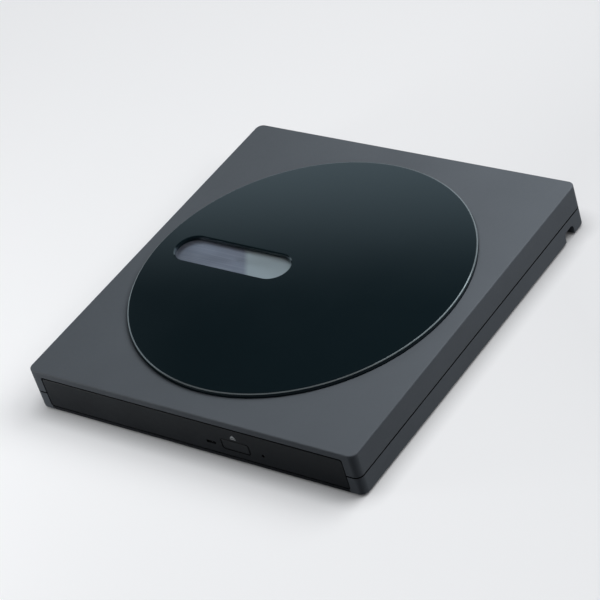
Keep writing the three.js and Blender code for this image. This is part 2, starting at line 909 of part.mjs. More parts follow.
function trayOpening() {
  const limits = [trayFloorLow - overrun, trayFloorTop + overrun];
  return onTray(common(
    block([openingInner, frameOuterEnd + overrun], around(0, 2 * openingHalfWidth), limits),
    bar(wellRadius - openingMargin, 'z', [0, 0], limits, fine),
  ));
}

function tray() {
  const slab = extruded(
    roundedRectangle(around(0, trayWidth), [trayFront, trayRear], caseEdgeRadius),
    'z',
    [trayFloorLow, trayRimTop],
  );
  const well = bar(wellRadius, 'z', [0, hubY], [trayFloorTop, trayRimTop + overrun], fine);
  const skirt = cut(
    block(around(0, 2 * skirtHalfWidth), [trayFront, skirtRear], [skirtLow, trayFloorLow + glueGap]),
    block(
      around(0, 2 * skirtInner),
      [trayFront + skirtWall, skirtRear - skirtWall],
      [skirtLow - overrun, trayFloorLow + overrun],
    ),
  );
  const tongues = [-1, 1].map((side) => block(
    mirrored(side, skirtHalfWidth - glueGap, skirtHalfWidth + tongueDepth),
    [railFront, railRear],
    runTongue,
  ));
  const damperPins = Object.values(damperSites).map((site) => onTray(
    bar(rodRadius, 'z', site, [damperLow, trayFloorLow + glueGap]),
  ));
  const leverPin = bar(leverPinRadius, 'z', [leverPivotX, leverPivotY], [leverLow, trayFloorLow + glueGap]);
  const ejectorGuide = block(
    around(ejectorX, ejectorGuideWidth),
    [ejectorGuideY - ejectorGuideThickness, ejectorGuideY],
    [skirtLow, trayFloorLow + glueGap],
  );
  const ejectorHole = bar(
    ejectorRadius + fitGap,
    'y',
    [ejectorX, ejectorZ],
    [ejectorGuideY - ejectorGuideThickness - overrun, skirtRear + overrun],
  );
  const ribbonNotch = block(
    [ribbonLeft - fitGap, ribbonRight + fitGap],
    [skirtRear - skirtWall - overrun, skirtRear + overrun],
    [skirtLow - overrun, ribbonTop + fitGap],
  );
  const latchNotch = block(
    around(latchPostX, 2 * (latchPostRadius + latchChannelMargin)),
    [skirtRear - skirtWall - overrun, skirtRear + overrun],
    [skirtLow - overrun, chassisFloorTop + latchPostHeight + fitGap],
  );
  const frontLimits = [trayFront - overrun, trayFront + skirtWall + overrun];
  const buttonPass = block(
    around(buttonX, stemWidth + 2 * fitGap),
    frontLimits,
    around(buttonZ, stemHeight + 2 * fitGap),
  );
  const lampPass = block(
    around(lampX, lampLength + 2 * fitGap),
    frontLimits,
    around(lampZ, lampHeight + 2 * fitGap),
  );
  const pinPass = bar(pinHoleRadius + fitGap, 'y', [pinHoleX, pinHoleZ], frontLimits);
  return cut(
    join(cut(slab, well, trayOpening()), skirt, ...tongues, ...damperPins, leverPin, ejectorGuide),
    ejectorHole,
    ribbonNotch,
    latchNotch,
    buttonPass,
    lampPass,
    pinPass,
  );
}

add('tray', tray(), 'trayPlastic');

// Steel plate under the tray, slotted for the latch post and the ribbon
add('tray_bottom_plate', cut(
  block(
    around(0, 2 * skirtHalfWidth - 2 * glueGap),
    [trayFront + fitGap, skirtRear - seatGap],
    [trayPlateLow, trayPlateTop],
  ),
  block(
    around(latchPostX, 2 * (latchPostRadius + latchChannelMargin)),
    [latchPostY - latchPostRadius - 2 * latchChannelMargin, skirtRear + overrun],
    [trayPlateLow - overrun, trayPlateTop + overrun],
  ),
  block(
    [ribbonLeft - fitGap, ribbonRight + fitGap],
    [ribbonFold - fitGap, skirtRear + overrun],
    [trayPlateLow - overrun, trayPlateTop + overrun],
  ),
), 'steel');

// Bezel: a plate with its front edge eased
add('bezel', cut(
  extruded(
    roundedRectangle(around(0, bezelWidth), [bezelLow, bezelTop], bezelCornerRadius),
    'y',
    [bezelFront, bezelBack],
    fitGap,
  ),
  block(
    around(buttonX, buttonWidth + 2 * buttonGap),
    [bezelFront - overrun, bezelBack + overrun],
    around(buttonZ, buttonHeight + 2 * buttonGap),
  ),
  block(
    around(lampX, lampLength + 2 * glueGap),
    [bezelFront - overrun, bezelBack + overrun],
    around(lampZ, lampHeight + 2 * glueGap),
  ),
  bar(pinHoleRadius, 'y', [pinHoleX, pinHoleZ], [bezelFront - overrun, bezelBack + overrun]),
), 'bezelPlastic');

// Eject button: a flat face with a stem that reaches the switch
add('eject_button', join(
  extruded(
    roundedRectangle(around(buttonX, buttonWidth), around(buttonZ, buttonHeight), bezelCornerRadius),
    'y',
    [bezelFront, bezelFront + buttonPlate],
    buttonGap,
  ),
  block(
    around(buttonX, stemWidth),
    [bezelFront + buttonPlate / 2, bezelFront + buttonPlate + stemLength],
    around(buttonZ, stemHeight),
  ),
), 'bezelPlastic');

// Light guide, lamp and switch on a small board behind the bezel
const panelBoardThickness = 0.8;
const panelBoardMargin = 4.5;
const switchWidth = 5;
const switchRise = 1.1;
const switchDrop = 2.1;
const switchBody = 1.6;
const switchNub = 0.4;
const switchNubRadius = 0.8;
const lampBody = 1.8;
const lampBodyWidth = 3;
const lampBodyHeight = 1.6;
const stemEnd = bezelFront + buttonPlate + stemLength;
const switchFront = stemEnd + buttonTravel + fitGap + switchNub;
const panelBoardFront = switchFront + switchBody + glueGap;
const lampFront = panelBoardFront - glueGap - lampBody;

add('button_board', block(
  [lampX - panelBoardMargin, buttonX + 2 * panelBoardMargin],
  [panelBoardFront, panelBoardFront + panelBoardThickness],
  [skirtLow + fitGap, trayFloorLow - fitGap],
), 'board');

add('button_switch', join(
  block(
    around(buttonX, switchWidth),
    [switchFront, switchFront + switchBody],
    [buttonZ - switchDrop, buttonZ + switchRise],
  ),
  bar(switchNubRadius, 'y', [buttonX, buttonZ], [switchFront - switchNub, switchFront + switchBody / 2]),
), 'darkPlastic');

add('lamp', block(
  around(lampX, lampBodyWidth),
  [lampFront, lampFront + lampBody],
  around(lampZ, lampBodyHeight),
), 'smokedLens');

add('lamp_window', block(
  around(lampX, lampLength),
  [bezelFront + glueGap, lampFront - seatGap],
  around(lampZ, lampHeight),
), 'smokedLens');

// Thin cover over the traverse, with the turntable hole and the window of the lens
const coverSheet = 0.3;
const coverLow = trayFloorLow + fitGap;
const turntableGap = 0.7;
const lensWindowHalf = 4.2;
const lensWindowStart = lensStart - lensWindowHalf;
const lensWindowEnd = runEnd - seatGap - glueGap;

add('traverse_cover', cut(
  common(
    block(
      [openingInner + openingMargin, frameOuterEnd + overrun],
      around(0, 2 * (openingHalfWidth - openingMargin)),
      [coverLow, coverLow + coverSheet],
    ),
    bar(wellRadius - 2 * openingMargin, 'z', [0, 0], [coverLow - overrun, coverLow + overrun], fine),
  ),
  bar(turntableRadius + turntableGap, 'z', [0, 0], [coverLow - overrun, coverLow + overrun], medium),
  block(
    [lensWindowStart, lensWindowEnd],
    around(0, 2 * lensWindowHalf),
    [coverLow - overrun, coverLow + overrun],
  ),
), 'steel', traverse);

// Traverse frame: bays for the two motors, seats for rods and dampers
function traverseFrame() {
  const upright = [frameLow - overrun, frameTop + overrun];
  const body = block([frameInnerEnd, frameOuterEnd], around(0, 2 * frameHalfWidth), [frameLow, frameTop]);
  const run = block([runStart, runEnd], around(0, 2 * (frameHalfWidth - frameWall)), upright);
  const sledBay = block(
    [sledMotorStart - openingMargin, runStart + overrun],
    [-(frameHalfWidth - frameWall), leadV + sledBayHalf],
    upright,
  );
  const spindleBay = bar(spindleBayRadius, 'z', [0, 0], [motorBayLevel, frameTop + overrun], medium);
  const lugs = [-1, 1].map((side) => block(
    around(damperOuterU, lugLength),
    mirrored(side, frameHalfWidth - glueGap, frameHalfWidth + lugReach),
    around(damperMiddle, damperWeb),
  ));
  const damperHoles = Object.values(damperSites).map((site) => bar(damperWaist + fitGap, 'z', site, upright));
  const innerSite = damperSites.damper_inner;
  const damperPockets = [
    bar(damperRadius + fitGap, 'z', innerSite, [frameLow - overrun, damperMiddle - damperWeb / 2]),
    bar(damperRadius + fitGap, 'z', innerSite, [damperMiddle + damperWeb / 2, frameTop + overrun]),
  ];
  const holeEnd = runEnd + frameEndWall - 2 * seatGap;
  const rodHoles = [mainRodV, subRodV].map((v) => bar(
    rodRadius + seatGap,
    'x',
    [v, rodZ],
    [runStart - rodSeat - fitGap, holeEnd],
  ));
  const leadHole = bar(leadRadius + seatGap, 'x', [leadV, rodZ], [runEnd - overrun, holeEnd]);
  return cut(
    join(body, ...lugs),
    run,
    sledBay,
    spindleBay,
    ...damperHoles,
    ...damperPockets,
    ...rodHoles,
    leadHole,
  );
}

add('traverse_frame', traverseFrame(), 'castMetal', traverse);

// Rubber dampers: a waisted ring each, round a pin of the tray
for (const [name, site] of Object.entries(damperSites)) {
  const top = damperLow + damperHeight;
  add(name, turned([
    [damperBore, damperLow],
    [damperRadius, damperLow],
    [damperRadius, damperLow + damperFlange],
    [damperWaist, damperLow + damperFlange],
    [damperWaist, top - damperFlange],
    [damperRadius, top - damperFlange],
    [damperRadius, top],
    [damperBore, top],
    [damperBore, damperLow],
  ], site, coarse), 'rubber', traverse);
}

// Spindle motor in its bay, with the turntable on its shaft
const motorStep = 1;
const motorCanRadius = 9.6;
const motorTop = coverLow + fitGap;
const motorLow = motorBayLevel + fitGap;
const shaftRadius = 0.8;
const shaftGap = 0.3;
const turntableLow = motorTop + fitGap;
const turntableThickness = 0.6;
const turntableTop = turntableLow + turntableThickness;
const padInner = 8.4;
const padOuter = 13.6;
const padRise = 0.3;
const hubRadius = 7.4;
const hubHeight = 2.3;
const hubChamfer = 0.6;
const hubDimple = 2.2;
const hubDimpleDepth = 0.4;
const hubTop = turntableTop + hubHeight;

add('spindle_motor', turned([
  [shaftRadius + shaftGap, motorLow],
  [motorBaseRadius, motorLow],
  [motorBaseRadius, motorLow + motorStep],
  [motorCanRadius, motorLow + 2 * motorStep],
  [motorCanRadius, motorTop - fitGap],
  [motorCanRadius - fitGap, motorTop],
  [shaftRadius + shaftGap, motorTop],
  [shaftRadius + shaftGap, motorLow],
]), 'steel', traverse);

const clawWidth = 1.8;
const clawHeight = 0.7;
const clawInner = 5;
const clawOuter = 7.7;
const clawTravel = 0.5;
const clawCount = 3;
const clawRise = 1.3;
const clawMiddle = turntableTop + clawRise;
const clawAngle = fullTurn / clawCount;

function turntable() {
  const body = turned([
    [0, motorLow + motorStep],
    [shaftRadius, motorLow + motorStep],
    [shaftRadius, turntableLow],
    [turntableRadius, turntableLow],
    [turntableRadius, turntableTop],
    [hubRadius, turntableTop],
    [hubRadius, hubTop - hubChamfer],
    [hubRadius - hubChamfer, hubTop],
    [hubDimple, hubTop],
    [hubDimple, hubTop - hubDimpleDepth],
    [0, hubTop - hubDimpleDepth],
  ]);
  const clawSlots = Array.from({ length: clawCount }, (_, i) => block(
    [clawInner - clawTravel - fitGap, hubRadius + overrun],
    around(0, clawWidth + 2 * fitGap),
    around(clawMiddle, clawHeight + 2 * seatGap),
  ).rotateZ(i * clawAngle));
  return cut(body, ...clawSlots);
}

add('turntable', turntable(), 'darkPlastic', traverse);

add('turntable_pad', turned([
  [padInner, turntableTop + glueGap],
  [padOuter, turntableTop + glueGap],
  [padOuter, turntableTop + glueGap + padRise],
  [padInner, turntableTop + glueGap + padRise],
  [padInner, turntableTop + glueGap],
]), 'rubber', traverse);

// Sprung claws that hold the disc on the hub
for (let i = 0; i < clawCount; i += 1) {
  const claw = extruded(
    roundedRectangle([clawInner, clawOuter], around(0, clawWidth), clawWidth / 4),
    'z',
    around(clawMiddle, clawHeight),
  );
  add(`claw_${i + 1}`, claw.rotateZ(i * clawAngle), 'darkPlastic', traverse);
}

// Guide rods, lead screw and its motor
const rodLimits = [runStart - rodSeat, runEnd + frameEndWall - 3 * seatGap];
add('main_guide_rod', bar(rodRadius, 'x', [mainRodV, rodZ], rodLimits), 'steel', traverse);
add('sub_guide_rod', bar(rodRadius, 'x', [subRodV, rodZ], rodLimits), 'steel', traverse);
const leadLimits = [sledMotorEnd + seatGap, rodLimits[1]];
const sledMotorLimits = [sledMotorStart, sledMotorEnd];
add('lead_screw', bar(leadRadius, 'x', [leadV, rodZ], leadLimits), 'steel', traverse);
add('sled_motor', bar(sledMotorRadius, 'x', [leadV, rodZ], sledMotorLimits, medium), 'steel', traverse);

// Pickup on the two rods, with its nut on the lead screw and its sprung lens
const pickupWall = 2.2;
const pickupLift = 0.4;
const lensPocketRadius = 3.9;
const lensPocketDepth = 1.2;
const holderRadius = 2.7;
const holderHeight = 1.6;
const holderLift = 0.6;
const lensRadius = 1.8;
const lensSink = 0.4;
const lensCrown = 0.3;
const nutLength = 8;
const nutWidth = 3.6;
const nutHeight = 3.2;
const pickupLow = frameLow + pickupLift;
const pickupTop = frameTop - fitGap;
const pickupSide = subRodV - rodRadius - fitGap - skirtWall;
const holderLow = pickupTop - lensPocketDepth + holderLift;
const holderTop = holderLow + holderHeight;
const lensSeat = holderTop - lensSink;

add('pickup_body', cut(
  block(
    [lensStart - pickupInner, lensStart + pickupOuter],
    [pickupSide, mainRodV + pickupWall],
    [pickupLow, pickupTop],
  ),
  ...[mainRodV, subRodV].map((v) => bar(
    rodRadius + fitGap,
    'x',
    [v, rodZ],
    [lensStart - pickupInner - overrun, lensStart + pickupOuter + overrun],
  )),
  block(
    [lensStart - lensPocketRadius, lensStart + pickupOuter + overrun],
    around(0, 2 * lensPocketRadius),
    [pickupTop - lensPocketDepth, pickupTop + overrun],
  ),
), 'castMetal', traverse);

add('rack_nut', cut(
  block(
    around(lensStart - pickupInner / 4, nutLength),
    [pickupSide - seatGap - nutWidth, pickupSide - seatGap],
    around(rodZ, nutHeight),
  ),
  bar(
    leadRadius + fitGap,
    'x',
    [leadV, rodZ],
    [lensStart - pickupInner / 4 - nutLength, lensStart - pickupInner / 4 + nutLength],
  ),
), 'darkPlastic', traverse);

add('lens_holder', cut(
  bar(holderRadius, 'z', [lensStart, 0], [holderLow, holderTop], medium),
  bar(lensRadius + glueGap, 'z', [lensStart, 0], [lensSeat - glueGap, holderTop + overrun], medium),
), 'darkPlastic', traverse);

add('lens', turned([
  [0, lensSeat],
  [lensRadius, lensSeat],
  [lensRadius, holderTop - glueGap],
  [lensRadius / 2, holderTop - glueGap + lensCrown - glueGap],
  [0, holderTop - glueGap + lensCrown],
], [lensStart, 0]), 'opticGlass', traverse);

// Main board of the tray, under its right rear
const trayBoardWidth = 42;
const trayBoardInset = 3;
const trayBoardRoom = 8.3;
const trayBoardRight = skirtInner - trayBoardInset;
const trayBoardLeft = trayBoardRight - trayBoardWidth;
const trayBoardRear = skirtRear - trayBoardInset;
const trayBoardFront = hubY - Math.SQRT2 * frameInnerEnd - trayBoardLeft + trayBoardRoom;
const trayBoardThickness = 1;
const trayBoardTop = trayFloorLow - fitGap;
const trayBoardLow = trayBoardTop - trayBoardThickness;
const trayChipSide = 12;
const trayChipThickness = 1;
const trayChipFromRear = 13.5;
const trayChipX = (ribbonLeft + ribbonRight) / 2 + ribbonRoom;
const trayChipY = trayBoardRear - trayChipFromRear;

add('tray_board', block(
  [trayBoardLeft, trayBoardRight],
  [trayBoardFront, trayBoardRear],
  [trayBoardLow, trayBoardTop],
), 'board');

add('tray_chip', block(
  around(trayChipX, trayChipSide),
  around(trayChipY, trayChipSide),
  [trayBoardLow - glueGap - trayChipThickness, trayBoardLow - glueGap],
), 'chip');

// Flat ribbon, folded back over itself between the drive board and the tray board
function ribbonOutline() {
  const bend = ribbonBend / 2;
  const middle = ribbonLow + bend;
  const foldY = ribbonFold + bend;
  const lowerEnd = driveBoardFront - fitGap;
  const upperEnd = trayBoardRear - trayBoardThickness;
  const shape = new THREE.Shape();
  shape.moveTo(lowerEnd, ribbonLow);
  shape.lineTo(lowerEnd, ribbonLow + ribbonFilm);
  shape.lineTo(foldY, ribbonLow + ribbonFilm);
  shape.absarc(foldY, middle, bend - ribbonFilm, 3 * quarterTurn, quarterTurn, true);
  shape.lineTo(upperEnd, ribbonTop - ribbonFilm);
  shape.lineTo(upperEnd, ribbonTop);
  shape.lineTo(foldY, ribbonTop);
  shape.absarc(foldY, middle, bend, quarterTurn, 3 * quarterTurn, false);
  return shape;
}

add('flex_ribbon', extruded(ribbonOutline(), 'x', [ribbonLeft, ribbonRight]), 'ribbonFilm');

// Latch: a post on the chassis, a hook on the tray and the solenoid that moves it
const hookLength = 1.6;
const hookRoom = 0.8;
const leverNose = 7;
const hookY = latchPostY + latchPostRadius + fitGap;
const hookTipX = latchPostX + latchPostRadius + hookRoom;
const leverFront = latchPostY - leverNose;
const eyeRadius = 2.2;
const eyeHeight = 1.6;
const earLength = 4;
const earHeight = 3.2;
const solenoidDepth = 8;
const solenoidHeight = 4;
const plungerRadius = 1;
const plungerGap = 0.4;
const solenoidY = leverFront + earLength / 2;
const solenoidZ = rodZ;

add('latch_post', bar(
  latchPostRadius,
  'z',
  [latchPostX, latchPostY],
  [chassisFloorTop + glueGap, chassisFloorTop + latchPostHeight],
), 'steel');

const leverLevels = [leverLow, leverLow + leverThickness];
const leverPivot = [leverPivotX, leverPivotY];

add('latch_lever', cut(
  join(
    block([leverLeft, leverRight], [leverFront, leverPivotY], leverLevels),
    bar(eyeRadius, 'z', leverPivot, [leverLow, leverLow + eyeHeight]),
    block([hookTipX, leverLeft + glueGap], [hookY, hookY + hookLength], leverLevels),
    block([leverLeft, leverRight], [leverFront, leverFront + earLength], [leverLow, leverLow + earHeight]),
  ),
  bar(leverPinRadius + fitGap, 'z', leverPivot, [leverLow - overrun, leverLow + eyeHeight + overrun]),
), 'darkPlastic');

add('solenoid', cut(
  block([solenoidLeft, solenoidRight], around(solenoidY, solenoidDepth), around(solenoidZ, solenoidHeight)),
  bar(
    plungerRadius + fitGap,
    'x',
    [solenoidY, solenoidZ],
    [solenoidLeft - overrun, solenoidRight - 2 * fitGap],
  ),
), 'castMetal');

add('solenoid_plunger', bar(
  plungerRadius,
  'x',
  [solenoidY, solenoidZ],
  [leverRight + plungerGap, solenoidRight - 3 * fitGap],
), 'steel');

// Ejector: a sprung rod in the rear of the tray that pushes it open
const ejectorTail = 15;
const ejectorStart = ejectorGuideY - ejectorTail;
const ejectorHeadRadius = 1.9;
const ejectorHead = 1.6;
const collarRadius = 1.9;
const collarThickness = 1;
const springRoom = 6;
const collarY = ejectorGuideY + springRoom;
const springRadius = 1.6;
const springWire = 0.25;
const springTurns = 4;
const springSteps = 8;
const springSides = 5;

add('ejector_rod', join(
  bar(ejectorRadius, 'y', [ejectorX, ejectorZ], [ejectorStart, skirtRear + fitGap + ejectorHead]),
  bar(collarRadius, 'y', [ejectorX, ejectorZ], [collarY, collarY + collarThickness]),
  bar(ejectorHeadRadius, 'y', [ejectorX, ejectorZ], [skirtRear + fitGap, skirtRear + fitGap + ejectorHead]),
), 'steel');

class Helix extends THREE.Curve {
  constructor(radius, turns, start, end, centre) {
    super();
    Object.assign(this, { radius, turns, start, end, centre });
  }

  getPoint(t) {
    const angle = t * this.turns * fullTurn;
    return new THREE.Vector3(
      this.centre[0] + this.radius * Math.cos(angle),
      this.start + t * (this.end - this.start),
      this.centre[1] + this.radius * Math.sin(angle),
    );
  }
}

function ejectorSpring() {
  const section = new THREE.Shape();
  for (let i = 0; i < springSides; i += 1) {
    const angle = (i / springSides) * fullTurn;
    const x = springWire * Math.cos(angle);
    const y = springWire * Math.sin(angle);
    if (i === 0) {
      section.moveTo(x, y);
    } else {
      section.lineTo(x, y);
    }
  }
  const start = ejectorGuideY + fitGap + springWire;
  const end = collarY - fitGap - springWire;
  const path = new Helix(springRadius, springTurns, start, end, [ejectorX, ejectorZ]);
  return new THREE.ExtrudeGeometry(section, { extrudePath: path, steps: springTurns * springSteps });
}

add('ejector_spring', toGeometry(toSolid(ejectorSpring())), 'steel');

export default drive;
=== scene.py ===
"""Looks of the slim external disc drive: two case halves with a round gloss panel,
a bezel on a sliding tray, and the drive mechanism that the tray carries."""

import json
import math

import bmesh
import bpy
from mathutils import Matrix, Vector


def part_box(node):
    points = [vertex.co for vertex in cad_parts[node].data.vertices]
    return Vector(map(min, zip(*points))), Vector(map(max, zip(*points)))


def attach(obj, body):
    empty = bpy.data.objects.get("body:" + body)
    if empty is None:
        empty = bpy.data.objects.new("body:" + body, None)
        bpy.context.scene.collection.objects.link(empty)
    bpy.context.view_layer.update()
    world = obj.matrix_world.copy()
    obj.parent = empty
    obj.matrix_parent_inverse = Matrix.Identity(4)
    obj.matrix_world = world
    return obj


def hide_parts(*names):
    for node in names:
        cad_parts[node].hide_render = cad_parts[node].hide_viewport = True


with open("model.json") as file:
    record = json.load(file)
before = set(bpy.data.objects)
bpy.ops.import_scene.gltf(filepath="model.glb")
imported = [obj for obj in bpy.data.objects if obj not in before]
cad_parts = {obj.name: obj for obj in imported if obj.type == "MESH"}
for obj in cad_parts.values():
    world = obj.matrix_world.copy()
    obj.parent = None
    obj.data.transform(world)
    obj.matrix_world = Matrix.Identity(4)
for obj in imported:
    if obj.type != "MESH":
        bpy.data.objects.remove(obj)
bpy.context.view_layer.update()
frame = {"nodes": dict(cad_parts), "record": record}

# View: a long lens from the front right, high enough to look down on the panel.
# The camera is rolled a little, so that the front edge of the drive falls to the right.
CAMERA_PLACE = Vector((0.50388, -0.50187, 0.54239))
CAMERA_RIGHT = Vector((0.80089444, 0.5440922, -0.25006356))
CAMERA_UP = Vector((-0.18630642, 0.62329148, 0.75947195))
CAMERA_LENS = 151.58
CAMERA_SENSOR = 36.0
CAMERA_NEAR = 0.01

scene = bpy.context.scene
scene.view_settings.view_transform = "Standard"
camera_data = bpy.data.cameras.new("camera")
camera_data.lens = CAMERA_LENS
camera_data.sensor_width = CAMERA_SENSOR
camera_data.clip_start = CAMERA_NEAR
camera = bpy.data.objects.new("camera", camera_data)
camera.matrix_world = Matrix.Translation(CAMERA_PLACE) @ Matrix(
    (CAMERA_RIGHT, CAMERA_UP, CAMERA_RIGHT.cross(CAMERA_UP))
).transposed().to_4x4()
scene.collection.objects.link(camera)
scene.camera = camera

# Studio: a room that is pale low down behind the drive and dark everywhere else. The flat
# gloss panel mirrors the edge between the two as a gradient that fades down the picture.
# Two pale cards, high behind it and low at its left, draw lines on the eased edges.
ROOM_PALE = (0.80, 0.92, 1.0)
ROOM_DARK = (0.035, 0.045, 0.05)
ROOM_FILL = (0.11, 0.116, 0.125)
ROOM_DARK_LIMIT = -0.01
ROOM_PALE_LIMIT = 0.080
ROOM_TILT = -0.03
ROOM_CARDS = ((0.1, 0.6, 0.8), (-0.9, 0.2, 0.4))
ROOM_CARD_LIMITS = (0.88, 0.97)
ROOM_CARD_LEVEL = 0.8

to_pale = CAMERA_UP + CAMERA_RIGHT * ROOM_TILT
to_pale.z = -to_pale.z


def add_node(tree, kind, *values, **settings):
    """A new node. Settings in small letters are its own. All other values go to its inputs,
    in turn or by name: an output of another node is linked and anything else is set."""
    node = tree.nodes.new(kind)
    given = list(zip(node.inputs, values))
    for name, value in settings.items():
        if name.islower():
            setattr(node, name, value)
        else:
            given.append((node.inputs[name.replace("_", " ")], value))
    for socket, value in given:
        if isinstance(value, bpy.types.NodeSocket):
            tree.links.new(value, socket)
        else:
            socket.default_value = value
    return node


def mix_colours(tree, share, *colours):
    """The first colour where the share is 0 and the second where it is 1."""
    first, second = [(*colour, 1) if isinstance(colour, tuple) else colour for colour in colours]
    mix = add_node(tree, "ShaderNodeMix", data_type="RGBA", Factor=share, A=first, B=second)
    return mix.outputs["Result"]


def calculated(tree, operation, *values):
    """The result of arithmetic on numbers and outputs of other nodes."""
    return add_node(tree, "ShaderNodeMath", *values, operation=operation).outputs["Value"]


def measured(tree, operation, *places):
    """The number that vector arithmetic gives for one or two places."""
    return add_node(tree, "ShaderNodeVectorMath", *places, operation=operation).outputs["Value"]


def remapped(tree, value, low, high, to_low=0.0, to_high=1.0, easing="LINEAR"):
    """A value mapped from one pair of limits to another and held at both ends."""
    return add_node(
        tree, "ShaderNodeMapRange", interpolation_type=easing, Value=value,
        From_Min=low, From_Max=high, To_Min=to_low, To_Max=to_high,
    ).outputs["Result"]


def seen_by(tree, *rays):
    """1 for the named kinds of ray and 0 for all others."""
    path = add_node(tree, "ShaderNodeLightPath")
    total = path.outputs[rays[0]]
    for name in rays[1:]:
        total = calculated(tree, "MAXIMUM", total, path.outputs[name])
    return total


def make_room():
    world = bpy.data.worlds.new("studio")
    world.use_nodes = True
    tree = world.node_tree
    direction = add_node(tree, "ShaderNodeTexCoord").outputs["Generated"]
    along = measured(tree, "DOT_PRODUCT", direction, to_pale.normalized())
    share = remapped(tree, along, ROOM_DARK_LIMIT, ROOM_PALE_LIMIT, easing="SMOOTHERSTEP")
    for towards in ROOM_CARDS:
        near = measured(tree, "DOT_PRODUCT", direction, Vector(towards).normalized())
        card = remapped(tree, near, *ROOM_CARD_LIMITS, 0, ROOM_CARD_LEVEL, "SMOOTHSTEP")
        share = calculated(tree, "MAXIMUM", share, card)
    mirrored = mix_colours(tree, share, ROOM_DARK, ROOM_PALE)
    seen = seen_by(tree, "Is Camera Ray", "Is Glossy Ray", "Is Transmission Ray")
    lighting = mix_colours(tree, seen, ROOM_FILL, mirrored)
    tree.links.new(lighting, tree.nodes["Background"].inputs["Color"])
    scene.world = world


make_room()

# Lamps: a wide one hangs over the drive, a small one stands at its rear right and makes
# that corner the brightest, and a weak one at its front left lifts the bezel. The small
# one is too near to be mirrored: it would fill the panel.
LAMP_OVER = (0.17, 0.85, 1.46)
LAMP_OVER_SIZE = (0.32, 1.3)
LAMP_OVER_POWER = 5.0
LAMP_NEAR = (0.17, 0.12, 0.28)
LAMP_NEAR_SIZE = (0.26, 0.26)
LAMP_NEAR_POWER = 1.5
LAMP_FRONT = (-0.24, -0.24, 0.06)
LAMP_FRONT_SIZE = (0.12, 0.12)
LAMP_FRONT_POWER = 0.5


def add_lamp(name, place, size, power, mirrored=True):
    """A soft lamp that points at the drive and may leave no mirror image on it."""
    data = bpy.data.lights.new(name, "AREA")
    data.shape = "RECTANGLE"
    data.size = size[0]
    data.size_y = size[1]
    data.energy = power
    lamp = bpy.data.objects.new(name, data)
    lamp.visible_glossy = mirrored
    lamp.location = place
    lamp.rotation_euler = Vector(place).to_track_quat("Z", "Y").to_euler()
    scene.collection.objects.link(lamp)


add_lamp("lamp_over", LAMP_OVER, LAMP_OVER_SIZE, LAMP_OVER_POWER)
add_lamp("lamp_rear_right", LAMP_NEAR, LAMP_NEAR_SIZE, LAMP_NEAR_POWER, mirrored=False)
add_lamp("lamp_front_left", LAMP_FRONT, LAMP_FRONT_SIZE, LAMP_FRONT_POWER)

# Floor: one wide pale sheet of paper with a glow of its own where it is seen, so that the
# drive's shadow stays light. Near the drive the glow is dimmed by a measure of how closed
# in the paper is, a painted contact shadow that is dark only where the drive almost
# touches it. The paper lights the drive less than it shows, as dark flags beside the drive do.
FLOOR_HALF = 4.0
FLOOR_GLOW = (0.44, 0.445, 0.455, 1)
FLOOR_LIT_NEAR = (0.235, 0.238, 0.243)
FLOOR_LIT_FAR = (0.88, 0.885, 0.89)
FLOOR_LIGHTING = (0.13, 0.135, 0.145, 1)
FLOOR_NEAR = 0.12
FLOOR_FAR = 0.62
CONTACT_REACH = 0.008
CONTACT_POWER = 1.5


def make_floor():
    mesh = bpy.data.meshes.new("floor")
    corners = [(-1, -1), (1, -1), (1, 1), (-1, 1)]
    points = [(x * FLOOR_HALF, y * FLOOR_HALF, 0) for x, y in corners]
    mesh.from_pydata(points, [], [range(len(corners))])
    floor = bpy.data.objects.new("floor", mesh)
    scene.collection.objects.link(floor)
    material = bpy.data.materials.new("floor_paper")
    material.use_nodes = True
    tree = material.node_tree
    tree.nodes.remove(tree.nodes["Principled BSDF"])
    dim = add_node(tree, "ShaderNodeBsdfDiffuse", Color=FLOOR_LIGHTING)
    # Painted contact shadow: the glow is dimmed where little open space lies over the paper.
    open_sky = add_node(tree, "ShaderNodeAmbientOcclusion", Distance=CONTACT_REACH)
    painted_contact_shade = calculated(tree, "POWER", open_sky.outputs["AO"], CONTACT_POWER)
    shown_directly = seen_by(tree, "Is Camera Ray", "Is Transmission Ray")
    strength = calculated(tree, "MULTIPLY", shown_directly, painted_contact_shade)
    glow = add_node(tree, "ShaderNodeEmission", Color=FLOOR_GLOW, Strength=strength)
    place = add_node(tree, "ShaderNodeTexCoord").outputs["Object"]
    away = measured(tree, "DISTANCE", place, (*LAMP_NEAR[:2], 0))
    share = remapped(tree, away, FLOOR_NEAR, FLOOR_FAR)
    paper = mix_colours(tree, share, FLOOR_LIT_NEAR, FLOOR_LIT_FAR)
    lit = add_node(tree, "ShaderNodeBsdfDiffuse", Color=paper)
    shown = add_node(tree, "ShaderNodeAddShader", lit.outputs[0], glow.outputs[0])
    seen = seen_by(tree, "Is Camera Ray", "Is Glossy Ray", "Is Transmission Ray")
    mix = add_node(tree, "ShaderNodeMixShader", seen, dim.outputs[0], shown.outputs[0])
    tree.links.new(mix.outputs[0], tree.nodes["Material Output"].inputs["Surface"])
    mesh.materials.append(material)


make_floor()
